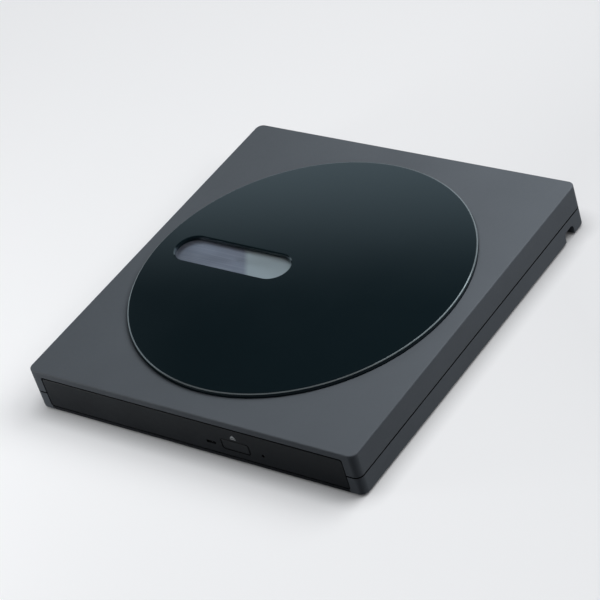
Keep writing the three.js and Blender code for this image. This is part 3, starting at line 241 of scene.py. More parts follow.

# Case halves: moulded in dark grey plastic with a fine spark-eroded texture. Both are
# shells with an eased outer edge, and they meet at a seam round the sides. Shade is
# painted into the seam and onto the sill under the bezel, so both are darker than the rest.
MM = 0.001
CASE_CORNER = 2.8 * MM
CASE_EDGE = 0.5 * MM
CASE_WALL = 1.8 * MM
SEAM_EASE = 0.04 * MM
SEAM_GAP = 0.5 * MM
PAINTED_GAP_SHADE = (0.004, 0.0045, 0.005)
SILL_PAINTED_SHADE = (0.012, 0.014, 0.017)
LIP_RISE = 1.6 * MM
LEAST_CORNER = 0.01 * MM
MOULD_GRAIN = 0.012 * MM
SHARP_ANGLE = math.radians(32)
EASE_STEPS = 2
OVERRUN = 1 * MM
BAND_FADE = 1.2
NOISE_LIMITS = (0.3, 0.7)
PATCH_MIDDLE = 0.5
PATCH_REACH = 0.22

top_low, top_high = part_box("top_cover")
bottom_low, bottom_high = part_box("bottom_cover")
panel_low, panel_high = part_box("disc_panel")
inlay_low, inlay_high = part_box("slot_inlay")
bezel_low, bezel_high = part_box("bezel")
lid_low, lid_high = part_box("drive_lid")
SEAM_LOW = bottom_high.z - LIP_RISE
SEAM_HIGH = SEAM_LOW + SEAM_GAP
body_of = {
    node: body for body, nodes in frame["record"]["behaviour"]["bodies"].items() for node in nodes
}


class Surface:
    """A material that is built up from layers of noise on the piece's own coordinates."""

    def __init__(self, name, colour, roughness, metallic=0.0, **sockets):
        self.material = bpy.data.materials.new(name)
        self.material.use_nodes = True
        self.tree = self.material.node_tree
        self.shader = self.tree.nodes["Principled BSDF"]
        sockets |= {"Base_Color": (*colour, 1), "Roughness": roughness, "Metallic": metallic}
        for socket, value in sockets.items():
            self.shader.inputs[socket.replace("_", " ")].default_value = value
        self.coordinates = add_node(self.tree, "ShaderNodeTexCoord").outputs["Object"]
        self.colour = self.tint = colour

    def stretched(self, stretch=(1, 1, 1), turn=0.0):
        """Object coordinates, turned about the upright axis and stretched."""
        return add_node(
            self.tree, "ShaderNodeMapping", self.coordinates, Scale=stretch, Rotation=(0, 0, turn),
        ).outputs[0]

    def noise(self, scale, stretch=(1, 1, 1), detail=2.0, turn=0.0):
        """Smooth noise with features of about a metre divided by scale."""
        place = self.stretched(stretch, turn)
        return add_node(
            self.tree, "ShaderNodeTexNoise", Vector=place, Scale=scale, Detail=detail,
        ).outputs["Fac"]

    def cells(self, scale):
        """Distances to the seeds of a cellular pattern."""
        place = self.stretched()
        return add_node(self.tree, "ShaderNodeTexVoronoi", Vector=place, Scale=scale).outputs["Distance"]

    def along(self, axis, turn=0.0):
        """The place along one axis of the piece, which may be turned about the upright one."""
        return add_node(self.tree, "ShaderNodeSeparateXYZ", self.stretched(turn=turn)).outputs[axis]

    def bands(self, pitch, width, axis):
        """1 on stripes of a width across an axis, one per pitch, and 0 between them."""
        wrapped = calculated(self.tree, "PINGPONG", self.along(axis), pitch / 2)
        return self.remap(wrapped, width / 2, width / 2 * BAND_FADE, 1, 0)

    def between(self, axis, low, high):
        """1 between two places along an axis of the piece and 0 beside them."""
        return calculated(self.tree, "COMPARE", self.along(axis), (low + high) / 2, (high - low) / 2)

    def both(self, first, second):
        """1 where two masks are 1, and 0 elsewhere."""
        return calculated(self.tree, "MULTIPLY", first, second)

    def remap(self, value, *limits):
        """Maps a value between two limits to 0 and 1, or to two other limits."""
        return remapped(self.tree, value, *limits)

    def paint(self, mask, colour):
        """Lays another colour over the surface where the mask is 1."""
        self.tint = mix_colours(self.tree, mask, self.tint, colour)
        self.tree.links.new(self.tint, self.shader.inputs["Base Color"])

    def polish(self, value, low, high):
        """Lets the roughness follow a value between two limits."""
        self.tree.links.new(self.remap(value, *NOISE_LIMITS, low, high), self.shader.inputs["Roughness"])

    def relief(self, height, depth):
        """Adds a relief of a real depth in metres to the surface."""
        bump = add_node(self.tree, "ShaderNodeBump", Strength=1.0, Distance=depth, Height=height)
        self.tree.links.new(bump.outputs[0], self.shader.inputs["Normal"])

    def mottle(self, scale, amount):
        """Makes the colour a little lighter and darker in wide soft patches."""
        light = tuple(min(1.0, c * (1 + amount)) for c in self.colour)
        dark = tuple(c * (1 - amount) for c in self.colour)
        patches = self.noise(scale, detail=3.0)
        self.paint(self.remap(patches, PATCH_MIDDLE, PATCH_MIDDLE + PATCH_REACH, 0, 1), light)
        self.paint(self.remap(patches, PATCH_MIDDLE - PATCH_REACH, PATCH_MIDDLE, 1, 0), dark)


def middle(low, high):
    """The middle of a box, from its two corners."""
    return [(first + last) / 2 for first, last in zip(low, high)]


def spans(low, high, margin=0.0):
    """The pairs of limits of a box along X, Y and Z, grown by a margin."""
    return [(first - margin, last + margin) for first, last in zip(low, high)]


def about(place, half):
    """The pair of limits at equal distances from a place."""
    return (place - half, place + half)


def outline(x, y, radius, steps=8):
    """Points of a rounded rectangle between two pairs of limits, anticlockwise."""
    radius = max(radius, LEAST_CORNER)
    centres = [(x[1], y[0], -1, 1), (x[1], y[1], -1, -1), (x[0], y[1], 1, -1), (x[0], y[0], 1, 1)]
    points = []
    for quarter, (corner_x, corner_y, to_x, to_y) in enumerate(centres):
        for i in range(steps + 1):
            angle = (quarter - 1 + i / steps) * math.pi / 2
            points.append((
                corner_x + to_x * radius + radius * math.cos(angle),
                corner_y + to_y * radius + radius * math.sin(angle),
            ))
    return points


def circle(radius, centre=(0, 0), sides=64):
    """Points of a regular many-sided ring, anticlockwise."""
    turn = 2 * math.pi / sides
    angles = [i * turn for i in range(sides)]
    return [(centre[0] + radius * math.cos(a), centre[1] + radius * math.sin(a)) for a in angles]


def loft(rings, looped=False):
    """A closed mesh through rings of points that all have the same count."""
    bm = bmesh.new()
    rows = [[bm.verts.new(point) for point in ring] for ring in rings]
    pairs = list(zip(rows, rows[1:]))
    if looped:
        pairs.append((rows[-1], rows[0]))
    for low, high in pairs:
        for i in range(len(low)):
            j = (i + 1) % len(low)
            bm.faces.new((low[i], low[j], high[j], high[i]))
    if not looped:
        bm.faces.new(rows[0])
        bm.faces.new(rows[-1])
    bmesh.ops.recalc_face_normals(bm, faces=bm.faces)
    mesh = bpy.data.meshes.new("part")
    bm.to_mesh(mesh)
    bm.free()
    return mesh


def eased_levels(limits, low_ease, high_ease, steps=4):
    """Pairs of inset and height up the side of a block whose two edges are rounded."""
    quarter = [i / steps * math.pi / 2 for i in range(steps + 1)]
    low = [(low_ease * (1 - math.sin(a)), limits[0] + low_ease * (1 - math.cos(a))) for a in quarter]
    high = [(high_ease * (1 - math.cos(a)), limits[1] - high_ease * (1 - math.sin(a))) for a in quarter]
    return (low if low_ease else [(0, limits[0])]) + (high if high_ease else [(0, limits[1])])


def block(x, y, z, corner=0.0, low_ease=0.0, high_ease=0.0, steps=8):
    """An upright block with round corners and eased lower and upper edges."""
    return loft([
        [(px, py, height) for px, py in outline(
            (x[0] + inset, x[1] - inset), (y[0] + inset, y[1] - inset), corner - inset, steps,
        )]
        for inset, height in eased_levels(z, low_ease, high_ease)
    ])


def facing_block(x, y, z, corner, ease, steps=6):
    """A block along Y with round corners, eased at its front edge only."""
    return loft([
        [(px, height, pz) for px, pz in outline(
            (x[0] + inset, x[1] - inset), (z[0] + inset, z[1] - inset), corner - inset, steps,
        )]
        for inset, height in eased_levels(y, ease, 0)
    ])


def disc(centre, profile, sides=64, looped=False):
    """A turned solid about an upright axis, from pairs of radius and height."""
    return loft([[(x, y, z) for x, y in circle(radius, centre, sides)] for radius, z in profile], looped)


def poles(sites, radius, z, sides=32):
    """Plain round bars, or the cutters of round holes, between two heights."""
    return [disc(site, [(radius, height) for height in z], sides) for site in sites]


def ring(centre, inner, outer, z, sides):
    """A flat ring with a square section."""
    return disc(centre, [(inner, z[0]), (outer, z[0]), (outer, z[1]), (inner, z[1])], sides, looped=True)


def shaped(mesh, cuts=(), additions=(), ease=0.0):
    """Joins and cuts a mesh with others, then eases the sharp edges."""
    objects = []
    for part in (mesh, *additions, *cuts):
        objects.append(bpy.data.objects.new("part", part))
        scene.collection.objects.link(objects[-1])
    solid = objects[0]
    for i, other in enumerate(objects[1:]):
        boolean = solid.modifiers.new("boolean", "BOOLEAN")
        boolean.operation = "UNION" if i < len(additions) else "DIFFERENCE"
        boolean.solver = "EXACT"
        boolean.object = other
    if ease:
        bevel = solid.modifiers.new("bevel", "BEVEL")
        bevel.limit_method = "ANGLE"
        bevel.angle_limit = SHARP_ANGLE
        bevel.width = ease
        bevel.segments = EASE_STEPS
    graph = bpy.context.evaluated_depsgraph_get()
    result = bpy.data.meshes.new_from_object(solid.evaluated_get(graph))
    for used in objects:
        bpy.data.objects.remove(used)
    return result


def joined(*meshes):
    """One mesh that holds several closed shapes."""
    bm = bmesh.new()
    for mesh in meshes:
        bm.from_mesh(mesh)
    result = bpy.data.meshes.new("joined")
    bm.to_mesh(result)
    bm.free()
    return result


def add_piece(name, mesh, surface, body, replaces=()):
    """Puts a finished mesh into the scene as a piece of the drive."""
    mesh.materials.clear()
    mesh.materials.append(surface.material)
    mesh.polygons.foreach_set("material_index", [0] * len(mesh.polygons))
    mesh.shade_smooth()
    mesh.set_sharp_from_angle(angle=SHARP_ANGLE)
    piece = bpy.data.objects.new(name, mesh)
    scene.collection.objects.link(piece)
    flat = piece.modifiers.new("flat_faces", "WEIGHTED_NORMAL")
    flat.keep_sharp = True
    flat.weight = 100
    graph = bpy.context.evaluated_depsgraph_get()
    piece.data = bpy.data.meshes.new_from_object(piece.evaluated_get(graph))
    piece.modifiers.clear()
    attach(piece, body)
    if replaces:
        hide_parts(*replaces)


def stand_in(name, node, mesh, surface):
    """Puts a mesh into the scene as the piece that is seen in the place of a node."""
    add_piece(name, mesh, surface, body_of[node], [node])


case_plastic = Surface("case_plastic", (0.073, 0.082, 0.093), 0.5, Specular_IOR_Level=0.12)
case_plastic.mottle(35, 0.05)
case_plastic.polish(case_plastic.noise(900), 0.46, 0.56)
case_plastic.relief(case_plastic.noise(3200, detail=3.0), MOULD_GRAIN)
# Painted shade: the band of the seam, ledge and lip, is painted near-black as if in shadow.
case_plastic.paint(case_plastic.between("Z", SEAM_LOW - SEAM_EASE, SEAM_HIGH + SEAM_EASE), PAINTED_GAP_SHADE)
# Painted shade: the front sill of the bottom cover below the bezel is painted darker, as if in shadow.
sill = case_plastic.both(
    case_plastic.between("X", bezel_low.x, bezel_high.x),
    case_plastic.between("Y", bottom_low.y - OVERRUN, bottom_low.y + CASE_WALL),
)
case_plastic.paint(
    case_plastic.both(sill, case_plastic.between("Z", bottom_low.z - OVERRUN, bezel_low.z)), SILL_PAINTED_SHADE,
)

REVEAL = 0.4 * MM
WINDOW_DEPTH = 4 * MM
WINDOW_CORNER = 0.9 * MM
RECESS_GAP = 0.3 * MM
PANEL_SEAT = 0.2 * MM
GLUE = 0.1 * MM
PANEL_SIDES = 192


def stadium(profile):
    """A block with the outline of the slot, from pairs of margin and height."""
    rings = []
    for margin, height in profile:
        x, y, _ = spans(inlay_low, inlay_high, margin)
        corner = (inlay_high.y - inlay_low.y) / 2 + margin
        rings.append([(px, py, height) for px, py in outline(x, y, corner, 16)])
    return loft(rings)


def front_window():
    """The opening in the front of both covers that the bezel closes."""
    x, _, z = spans(bezel_low, bezel_high, REVEAL)
    return facing_block(x, (top_low.y - OVERRUN, top_low.y + WINDOW_DEPTH), z, WINDOW_CORNER, 0)


def case_block(inset, z, low_ease=0.0, high_ease=0.0):
    """A block with the outline of the case, moved in by an inset."""
    x, y, _ = spans(top_low, top_high, -inset)
    return block(x, y, z, max(CASE_CORNER - inset, CASE_WALL / 2), low_ease, high_ease, 12)


CEILING_ROOM = 0.8 * MM
PILLAR_RADIUS = 2.8 * MM
PILLAR_GAP = 0.2 * MM
PILOT_RADIUS = 1.1 * MM
PILOT_TOP = 12 * MM
PAD_HALF = Vector((4.5, 0.75, 0)) * MM
PAD_INSET = 14 * MM
PAD_GAP = 0.3 * MM
CASE_SCREW_HEAD = 1.4 * MM
HEAD_GAP = 0.2 * MM
WELL_ROOF = 1.6 * MM

chassis_low, chassis_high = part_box("drive_chassis")
screw_boxes = [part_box(name) for name in ("case_screw_left", "case_screw_right")]
screw_sites = [middle(*box) for box in screw_boxes]
ceiling = lid_high.z + CEILING_ROOM
well_top = screw_boxes[0][0].z + CASE_SCREW_HEAD + HEAD_GAP
boss_top = well_top + WELL_ROOF


def top_cover():
    whole = case_block(0, (SEAM_HIGH, top_high.z), SEAM_EASE, CASE_EDGE)
    hollow = case_block(CASE_WALL, (SEAM_HIGH - OVERRUN, ceiling))
    recess_levels = (top_high.z - PANEL_SEAT, top_high.z + OVERRUN)
    recess = poles([(0, 0)], panel_high.x + RECESS_GAP, recess_levels, PANEL_SIDES)
    pocket = stadium([(GLUE, inlay_low.z - GLUE), (GLUE, top_high.z)])
    pillars = poles(screw_sites, PILLAR_RADIUS, (boss_top + PILLAR_GAP, ceiling + GLUE))
    pilots = poles(screw_sites, PILOT_RADIUS, (boss_top - OVERRUN, PILOT_TOP), 24)
    pad_levels = (lid_high.z + PAD_GAP, ceiling + GLUE)
    pads = [
        block(about(x, PAD_HALF.x), about(y, PAD_HALF.y), pad_levels)
        for x in (chassis_low.x + PAD_INSET, chassis_high.x - PAD_INSET)
        for y in (chassis_low.y + PAD_INSET, chassis_high.y - PAD_INSET)
    ]
    cuts = [hollow, *recess, pocket, front_window(), *pilots]
    return shaped(whole, cuts, [*pillars, *pads], SEAM_EASE)


stand_in("top_cover_shell", "top_cover", top_cover(), case_plastic)

# Bottom cover: the lower half of the sides and the underside. It has a lip inside the
# seam, pockets for the feet, screw wells, a bare label recess and the cable groove.
LIP = 0.8 * MM
FLOOR_THICKNESS = 1.6 * MM
FOOT_SEAT = 0.5 * MM
LABEL_HALF = Vector((30, 17, 0)) * MM
LABEL_SINK = 0.25 * MM
LABEL_CORNER = 2 * MM
BOSS_RADIUS = 3.3 * MM
WELL_RADIUS = 2.4 * MM
SCREW_HOLE_RADIUS = 1.2 * MM
GROOVE_TOP = 4.9 * MM
GROOVE_WIDTH = 5.9 * MM
GROOVE_LENGTH = 40 * MM
GROOVE_CORNER = 1.8 * MM
GROOVE_WALL = 1.2 * MM
GROOVE_END = 3 * MM
GLAND_HOLE_RADIUS = 1.7 * MM
GLAND_HOLE_LENGTH = 5 * MM
RIB_HALF = 0.75 * MM
RIB_HEIGHT = 4 * MM
RIB_PLACES = (-45 * MM, 0, 45 * MM)
RIB_CLEARANCE = 0.5 * MM
POST_RADIUS = 1.8 * MM
POST_BORE = 1.0 * MM
POST_GAP = 0.2 * MM

gland_low, gland_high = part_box("cable_gland")
gland_axis = middle(gland_low, gland_high)[1:]
board_screw_sites = [
    Vector(middle(*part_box(name))) for name in ("board_screw_left", "board_screw_right")
]
foot_boxes = {name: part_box(name) for name in frame["nodes"] if name.startswith("foot_")}


def case_ring(outer_inset, inner_inset, z):
    """A closed wall that follows the case outline."""
    return shaped(case_block(outer_inset, z), [case_block(inner_inset, (z[0] - OVERRUN, z[1] + OVERRUN))])


def groove(margin, x, z_low):
    """The cable groove, open downwards, grown by a margin."""
    y = about(gland_axis[0], GROOVE_WIDTH / 2 + margin)
    points = outline(y, (z_low, GROOVE_TOP + margin), GROOVE_CORNER, 6)
    return loft([[(place, y, z) for y, z in points] for place in x])


def turned_along_x(centre, profile, sides=40):
    """A turned solid about an axis along X, from pairs of radius and place."""
    return loft([[(x, y, z) for y, z in circle(radius, centre, sides)] for radius, x in profile])


def floor_ribs(floor):
    """Low walls on the floor that hold the drive box between them."""
    inner = lid_high.x + RIB_CLEARANCE
    outer = bottom_high.x - CASE_WALL + GLUE
    return [
        block(x, about(y, RIB_HALF), (floor - GLUE, floor + RIB_HEIGHT))
        for x in ((inner, outer), (-outer, -inner)) for y in RIB_PLACES
    ]


def bottom_cover():
    low, high = bottom_low, bottom_high
    floor = low.z + FLOOR_THICKNESS
    post_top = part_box("adapter_board")[0].z - POST_GAP
    whole = case_block(0, (low.z, SEAM_LOW), CASE_EDGE, SEAM_EASE)
    hollow = case_block(CASE_WALL, (floor, high.z))
    tub = shaped(whole, [hollow])
    lip_outside = CASE_WALL + RECESS_GAP
    lip_inside = lip_outside + LIP
    lip = case_ring(CASE_WALL / 2, lip_inside, (SEAM_LOW - 2 * LIP_RISE, SEAM_LOW - LIP_RISE))
    lip_top = case_ring(lip_outside, lip_inside, (SEAM_LOW - LIP_RISE - GLUE, high.z))
    end = high.x - GROOVE_LENGTH
    groove_cover = groove(GROOVE_WALL, (end - GROOVE_END, high.x - GLUE), low.z)
    bosses = poles(screw_sites, BOSS_RADIUS, (low.z, boss_top))
    wells = poles(screw_sites, WELL_RADIUS, (low.z - OVERRUN, well_top))
    holes = poles(screw_sites, SCREW_HOLE_RADIUS, (low.z, boss_top + OVERRUN), 24)
    posts = poles(board_screw_sites, POST_RADIUS, (floor - GLUE, post_top))
    bores = poles(board_screw_sites, POST_BORE, (floor, post_top + OVERRUN), 24)
    pockets = []
    for foot_low, foot_high in foot_boxes.values():
        radius = (foot_high.x - foot_low.x) / 2 + RECESS_GAP
        pockets += poles([middle(foot_low, foot_high)], radius, (low.z - OVERRUN, low.z + FOOT_SEAT), 48)
    label = block(
        about(0, LABEL_HALF.x), about(0, LABEL_HALF.y), (low.z - OVERRUN, low.z + LABEL_SINK), LABEL_CORNER,
    )
    gland_ends = (end - GLAND_HOLE_LENGTH, end + OVERRUN)
    gland_hole = turned_along_x(gland_axis, [(GLAND_HOLE_RADIUS, x) for x in gland_ends], 32)
    cuts = [
        groove(0, (end, high.x + OVERRUN), low.z - 2 * GROOVE_CORNER),
        gland_hole, *wells, *holes, *pockets, label, front_window(), *bores,
    ]
    return shaped(tub, cuts, [lip, lip_top, groove_cover, *floor_ribs(floor), *posts, *bosses], SEAM_EASE)


stand_in("bottom_cover_shell", "bottom_cover", bottom_cover(), case_plastic)

# Gloss panel: a round disc of black acrylic, glued into a shallow recess of the top cover.
# A narrow bevel runs round its rim, and its face is painted paler as a painted highlight
# line. A stadium slot through the panel has a chamfer of its own.
BEVEL_WIDTH = 0.45 * MM
BEVEL_DROP = 0.22 * MM
BEVEL_PAINTED_HIGHLIGHT = (0.085, 0.096, 0.100)
RIM_EASE = 0.05 * MM
CREST_WIDTH = 0.1 * MM
CREST_DROP = 0.02 * MM
PANEL_SCRATCH = 0.0012 * MM
SLOT_MARGIN = 2 * MM
SLOT_CHAMFER = 0.35 * MM

panel_gloss = Surface(
    "panel_gloss", (0.0022, 0.0056, 0.0074), 0.05,
    Specular_IOR_Level=0.72, Specular_Tint=(0.72, 0.92, 1.0, 1),
)
panel_gloss.polish(panel_gloss.noise(22, detail=4.0), 0.035, 0.075)
scratches = panel_gloss.noise(2600, (1, 0.04, 1), turn=0.6)
panel_gloss.relief(panel_gloss.remap(scratches, 0.72, 0.8), PANEL_SCRATCH)
from_axis = measured(panel_gloss.tree, "LENGTH", panel_gloss.stretched((1, 1, 0)))
# Painted highlight: the face of the bevel, in the band just below the top, is painted a paler grey.
bevel_start = panel_high.x - BEVEL_WIDTH
bevel_highlight_mask = panel_gloss.both(
    panel_gloss.remap(from_axis, bevel_start - CREST_WIDTH, bevel_start),
    panel_gloss.between("Z", panel_high.z - BEVEL_DROP, panel_high.z),
)
panel_gloss.paint(bevel_highlight_mask, BEVEL_PAINTED_HIGHLIGHT)


def gloss_panel():
    radius = panel_high.x
    plate = disc((0, 0), [
        (radius, panel_low.z),
        (radius, panel_high.z - BEVEL_DROP - RIM_EASE),
        (radius - RIM_EASE, panel_high.z - BEVEL_DROP),
        (radius - BEVEL_WIDTH + RIM_EASE, panel_high.z - CREST_DROP),
        (radius - BEVEL_WIDTH - CREST_WIDTH, panel_high.z),
    ], PANEL_SIDES)
    slot = stadium([
        (-SLOT_MARGIN, panel_low.z - OVERRUN), (-SLOT_MARGIN, panel_high.z + OVERRUN),
    ])
    chamfer = stadium([
        (3 * SLOT_CHAMFER - SLOT_MARGIN, panel_high.z + 2 * SLOT_CHAMFER),
        (-GLUE - SLOT_MARGIN, panel_high.z - SLOT_CHAMFER - GLUE),
    ])
    return shaped(plate, [slot, chamfer])


stand_in("gloss_panel", "disc_panel", gloss_panel(), panel_gloss)

# Inlay: a thin aluminium plate at the bottom of the slot, brushed along its length. Its right
# end is painted lighter, a painted reflection.
INLAY_TURN = math.atan2(CAMERA_RIGHT.y, CAMERA_RIGHT.x)
INLAY_REFLECTION_LIMITS = (-21.5 * MM, -19.5 * MM)
SATIN_GRAIN = 0.004 * MM
FINE_EASE = 0.06 * MM

inlay_metal = Surface("inlay_metal", (0.23, 0.25, 0.31), 0.36, 0.85, Anisotropic=0.5)
streaks = inlay_metal.noise(2400, (0.02, 1, 1), detail=4.0)
inlay_metal.paint(inlay_metal.remap(streaks, 0.45, 0.7), (0.31, 0.33, 0.39))
inlay_metal.paint(inlay_metal.remap(inlay_metal.noise(60), 0.35, 0.6, 0.4, 0), (0.17, 0.18, 0.22))
# Painted reflection: past a line across the slot, turned upright in the view, the plate is painted lighter.
along_slot = inlay_metal.along("X", turn=-INLAY_TURN)
inlay_metal.paint(inlay_metal.remap(along_slot, *INLAY_REFLECTION_LIMITS, 0, 0.75), (0.44, 0.50, 0.51))
inlay_metal.polish(streaks, 0.28, 0.42)
inlay_metal.relief(streaks, SATIN_GRAIN)

plate = shaped(stadium([(0, inlay_low.z), (0, inlay_high.z)]), ease=FINE_EASE)
stand_in("slot_plate", "slot_inlay", plate, inlay_metal)

# Feet: four round pads of soft black rubber, pressed into pockets of the underside.
# Each has a rounded rim and two fine rings moulded into its sole.
FOOT_EASE = 0.3 * MM
FOOT_TOP_EASE = 0.1 * MM
FOOT_RING_SHARES = (0.45, 0.72)
SOFT_GRAIN = 0.01 * MM

rubber = Surface("rubber", (0.018, 0.018, 0.019), 0.78, Specular_IOR_Level=0.3)
rubber.mottle(300, 0.25)
rubber.polish(rubber.noise(1200), 0.7, 0.88)
rubber.relief(rubber.noise(5000), SOFT_GRAIN)


def foot(low, high):
    centre = middle(low, high)
    radius = (high.x - low.x) / 2
    levels = eased_levels((low.z, high.z), FOOT_EASE, FOOT_TOP_EASE)
    sole = disc(centre, [(radius - inset, height) for inset, height in levels], 64)
    ring_levels = (low.z - FOOT_EASE, low.z + FOOT_EASE / 2)
    return shaped(sole, [
        ring(centre, share * radius, share * radius + FOOT_EASE, ring_levels, 48)
        for share in FOOT_RING_SHARES
    ])


for name, box in foot_boxes.items():
    stand_in(f"{name}_pad", name, foot(*box), rubber)

# Bezel: a satin black plate on the front of the tray, eased along its front edge, with
# openings for the button and the lamp and a pin hole for opening the tray by hand.
BEZEL_CORNER = 0.8 * MM
BEZEL_EASE = 0.12 * MM
BEZEL_TOP_ROOM = 0.25 * MM
BUTTON_GAP = 0.38 * MM
KEY_CORNER = 0.6 * MM
FACE_DEPTH = 0.14 * MM
LAMP_GAP = 0.1 * MM
LAMP_CORNER = 0.3 * MM
PIN_HOLE_FROM_BUTTON = 11.3 * MM
PIN_HOLE_RADIUS = 0.6 * MM

button_low, button_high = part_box("eject_button")
window_low, window_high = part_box("lamp_window")
button_x, _, button_z = middle(button_low, button_high)
lamp_z = middle(window_low, window_high)[2]

bezel_satin = Surface("bezel_satin", (0.0175, 0.0200, 0.0230), 0.36, Specular_IOR_Level=0.15)
bezel_satin.mottle(60, 0.12)
bezel_satin.polish(bezel_satin.noise(500), 0.32, 0.42)
bezel_satin.relief(bezel_satin.noise(2500, detail=3.0), SATIN_GRAIN)
# Painted shade: all of the bezel behind its front face, such as the walls of its openings, is painted
# near-black.
bezel_satin.paint(bezel_satin.between("Y", bezel_low.y + FACE_DEPTH, bezel_high.y), PAINTED_GAP_SHADE)


def prism(points, y):
    """A flat shape that stands across the Y axis, from points in X and Z."""
    return loft([[(x, depth, z) for x, z in points] for depth in y])


def bezel():
    x, y, z = spans(bezel_low, bezel_high)
    plate = facing_block(x, y, (z[0], z[1] - BEZEL_TOP_ROOM), BEZEL_CORNER, BEZEL_EASE)
    depth = (y[0] - OVERRUN, y[1] + OVERRUN)
    openings = (
        (spans(button_low, button_high, BUTTON_GAP), KEY_CORNER + BUTTON_GAP),
        (spans(window_low, window_high, LAMP_GAP), LAMP_CORNER),
    )
    holes = [facing_block(x, depth, z, corner, 0) for (x, _, z), corner in openings]
    pin_ring = circle(PIN_HOLE_RADIUS, (button_x + PIN_HOLE_FROM_BUTTON, lamp_z), 32)
    return shaped(plate, [*holes, prism(pin_ring, depth)], ease=FINE_EASE)


stand_in("bezel_plate", "bezel", bezel(), bezel_satin)

# Eject button: a satin key with a softly rounded face, and a stem to the switch behind.
# The eject sign above it is a thin pale print on the bezel.
STEM_HALF = Vector((2.8, 0, 0.95)) * MM
KEY_DEPTH = 2.75 * MM
SIGN_WIDTH = 2.3 * MM
SIGN_HEIGHT = 1.15 * MM
SIGN_BAR = 0.4 * MM
SIGN_GAP = 0.3 * MM
SIGN_LIFT = 1.25 * MM
INK = 0.02 * MM
INK_GRAIN = 0.003 * MM
KEY_EASE = 0.08 * MM

key_satin = Surface("key_satin", (0.0195, 0.0220, 0.0250), 0.34, Specular_IOR_Level=0.18)
key_satin.mottle(80, 0.1)
key_satin.polish(key_satin.noise(600), 0.3, 0.4)
key_satin.relief(key_satin.noise(2600, detail=3.0), SATIN_GRAIN)
# Painted shade: the key's sides behind its face are painted near-black, so the gap round it reads dark.
key_satin.paint(key_satin.between("Y", button_low.y + FACE_DEPTH / 2, button_high.y), PAINTED_GAP_SHADE)

sign_ink = Surface("sign_ink", (0.36, 0.38, 0.39), 0.6)
sign_ink.mottle(900, 0.12)
sign_ink.relief(sign_ink.noise(4000), INK_GRAIN)


def eject_key():
    x, y, z = spans(button_low, button_high)
    face = facing_block(x, (y[0], y[0] + KEY_DEPTH), z, KEY_CORNER, BUTTON_GAP / 2)
    stem = facing_block(
        about(button_x, STEM_HALF.x), (y[0] + KEY_DEPTH / 2, y[1]), about(button_z, STEM_HALF.z),
        STEM_HALF.z / 4, 0,
    )
    return shaped(face, additions=[stem], ease=KEY_EASE)


def eject_sign():
    base = button_high.z + SIGN_LIFT
    bar_top = base + SIGN_BAR
    arrow_low = bar_top + SIGN_GAP
    left, right = about(button_x, SIGN_WIDTH / 2)
    bar = [(left, base), (right, base), (right, bar_top), (left, bar_top)]
    arrow = [(left, arrow_low), (right, arrow_low), (button_x, arrow_low + SIGN_HEIGHT)]
    return joined(*[prism(points, about(bezel_low.y, INK)) for points in (bar, arrow)])


stand_in("eject_key", "eject_button", eject_key(), key_satin)
add_piece("eject_sign", eject_sign(), sign_ink, "tray")

# Light guide: a short bar of smoked clear plastic that carries the lamp's light to the
# front. It stands back from the face of the bezel, so it shows as a dark slot.
LAMP_SETBACK = 0.5 * MM
LAMP_EASE = 0.1 * MM

light_guide = Surface("light_guide", (0.020, 0.022, 0.024), 0.2, Transmission_Weight=0.5, IOR=1.49)
light_guide.mottle(400, 0.2)
light_guide.polish(light_guide.noise(900), 0.15, 0.3)


def light_bar():
    x, y, z = spans(window_low, window_high)
    return facing_block(x, (y[0] + LAMP_SETBACK, y[1]), z, LAMP_CORNER, LAMP_EASE)


stand_in("light_bar", "lamp_window", light_bar(), light_guide)

# Screws: steel with a cross recess in the head and a rolled thread. Two long ones hold
# the case halves together, and two short ones hold the adapter board down.
THREAD_PITCH = 0.8 * MM
THREAD_DEPTH = 0.18 * MM
RECESS_SHARE = 0.62
RECESS_BLADE_SHARE = 0.16
SHOULDER_EASE = 0.05 * MM
CASE_SHANK_SHARE = 0.42
BOARD_SCREW_HEAD = 1.0 * MM
BOARD_SHANK_SHARE = 0.5
SPIRAL_STEPS = 24
WIRE_SIDES = 8

screw_steel = Surface("screw_steel", (0.42, 0.42, 0.43), 0.3, 1.0)
screw_steel.mottle(500, 0.15)
screw_steel.polish(screw_steel.noise(1500), 0.22, 0.42)
screw_steel.relief(screw_steel.noise(3000), SATIN_GRAIN)


def group_output(tree, geometry):
    """Ends a tree: copies become real, take the tree's material and leave it."""
    real = add_node(tree, "GeometryNodeRealizeInstances", geometry)
    material = tree.nodes["Group Input"].outputs["Material"]
    finish = add_node(tree, "GeometryNodeSetMaterial", real.outputs[0], Material=material)
    tree.links.new(finish.outputs[0], tree.nodes["Group Output"].inputs["Geometry"])


def new_group(name, sockets):
    """An empty geometry tree with named inputs."""
    tree = bpy.data.node_groups.new(name, "GeometryNodeTree")
    for socket, kind in sockets.items():
        tree.interface.new_socket(socket, in_out="INPUT", socket_type=f"NodeSocket{kind}")
    tree.interface.new_socket("Geometry", in_out="OUTPUT", socket_type="NodeSocketGeometry")
    tree.nodes.new("NodeGroupInput").name = "Group Input"
    tree.nodes.new("NodeGroupOutput").name = "Group Output"
    return tree


def helix_tree():
    """A wire wound round an upright axis."""
    tree = new_group("wound_wire", {
        "Turns": "Float", "Radius": "Float", "Height": "Float", "Wire": "Float", "Material": "Material",
    })
    given = tree.nodes["Group Input"].outputs
    spiral = add_node(
        tree, "GeometryNodeCurveSpiral", Resolution=SPIRAL_STEPS, Rotations=given["Turns"],
        Start_Radius=given["Radius"], End_Radius=given["Radius"], Height=given["Height"],
    ).outputs[0]
    section = add_node(
        tree, "GeometryNodeCurvePrimitiveCircle", Resolution=WIRE_SIDES, Radius=given["Wire"],
    ).outputs[0]
    tube = add_node(
        tree, "GeometryNodeCurveToMesh", Curve=spiral, Profile_Curve=section, Fill_Caps=True,
    )
    group_output(tree, tube.outputs[0])
    return tree


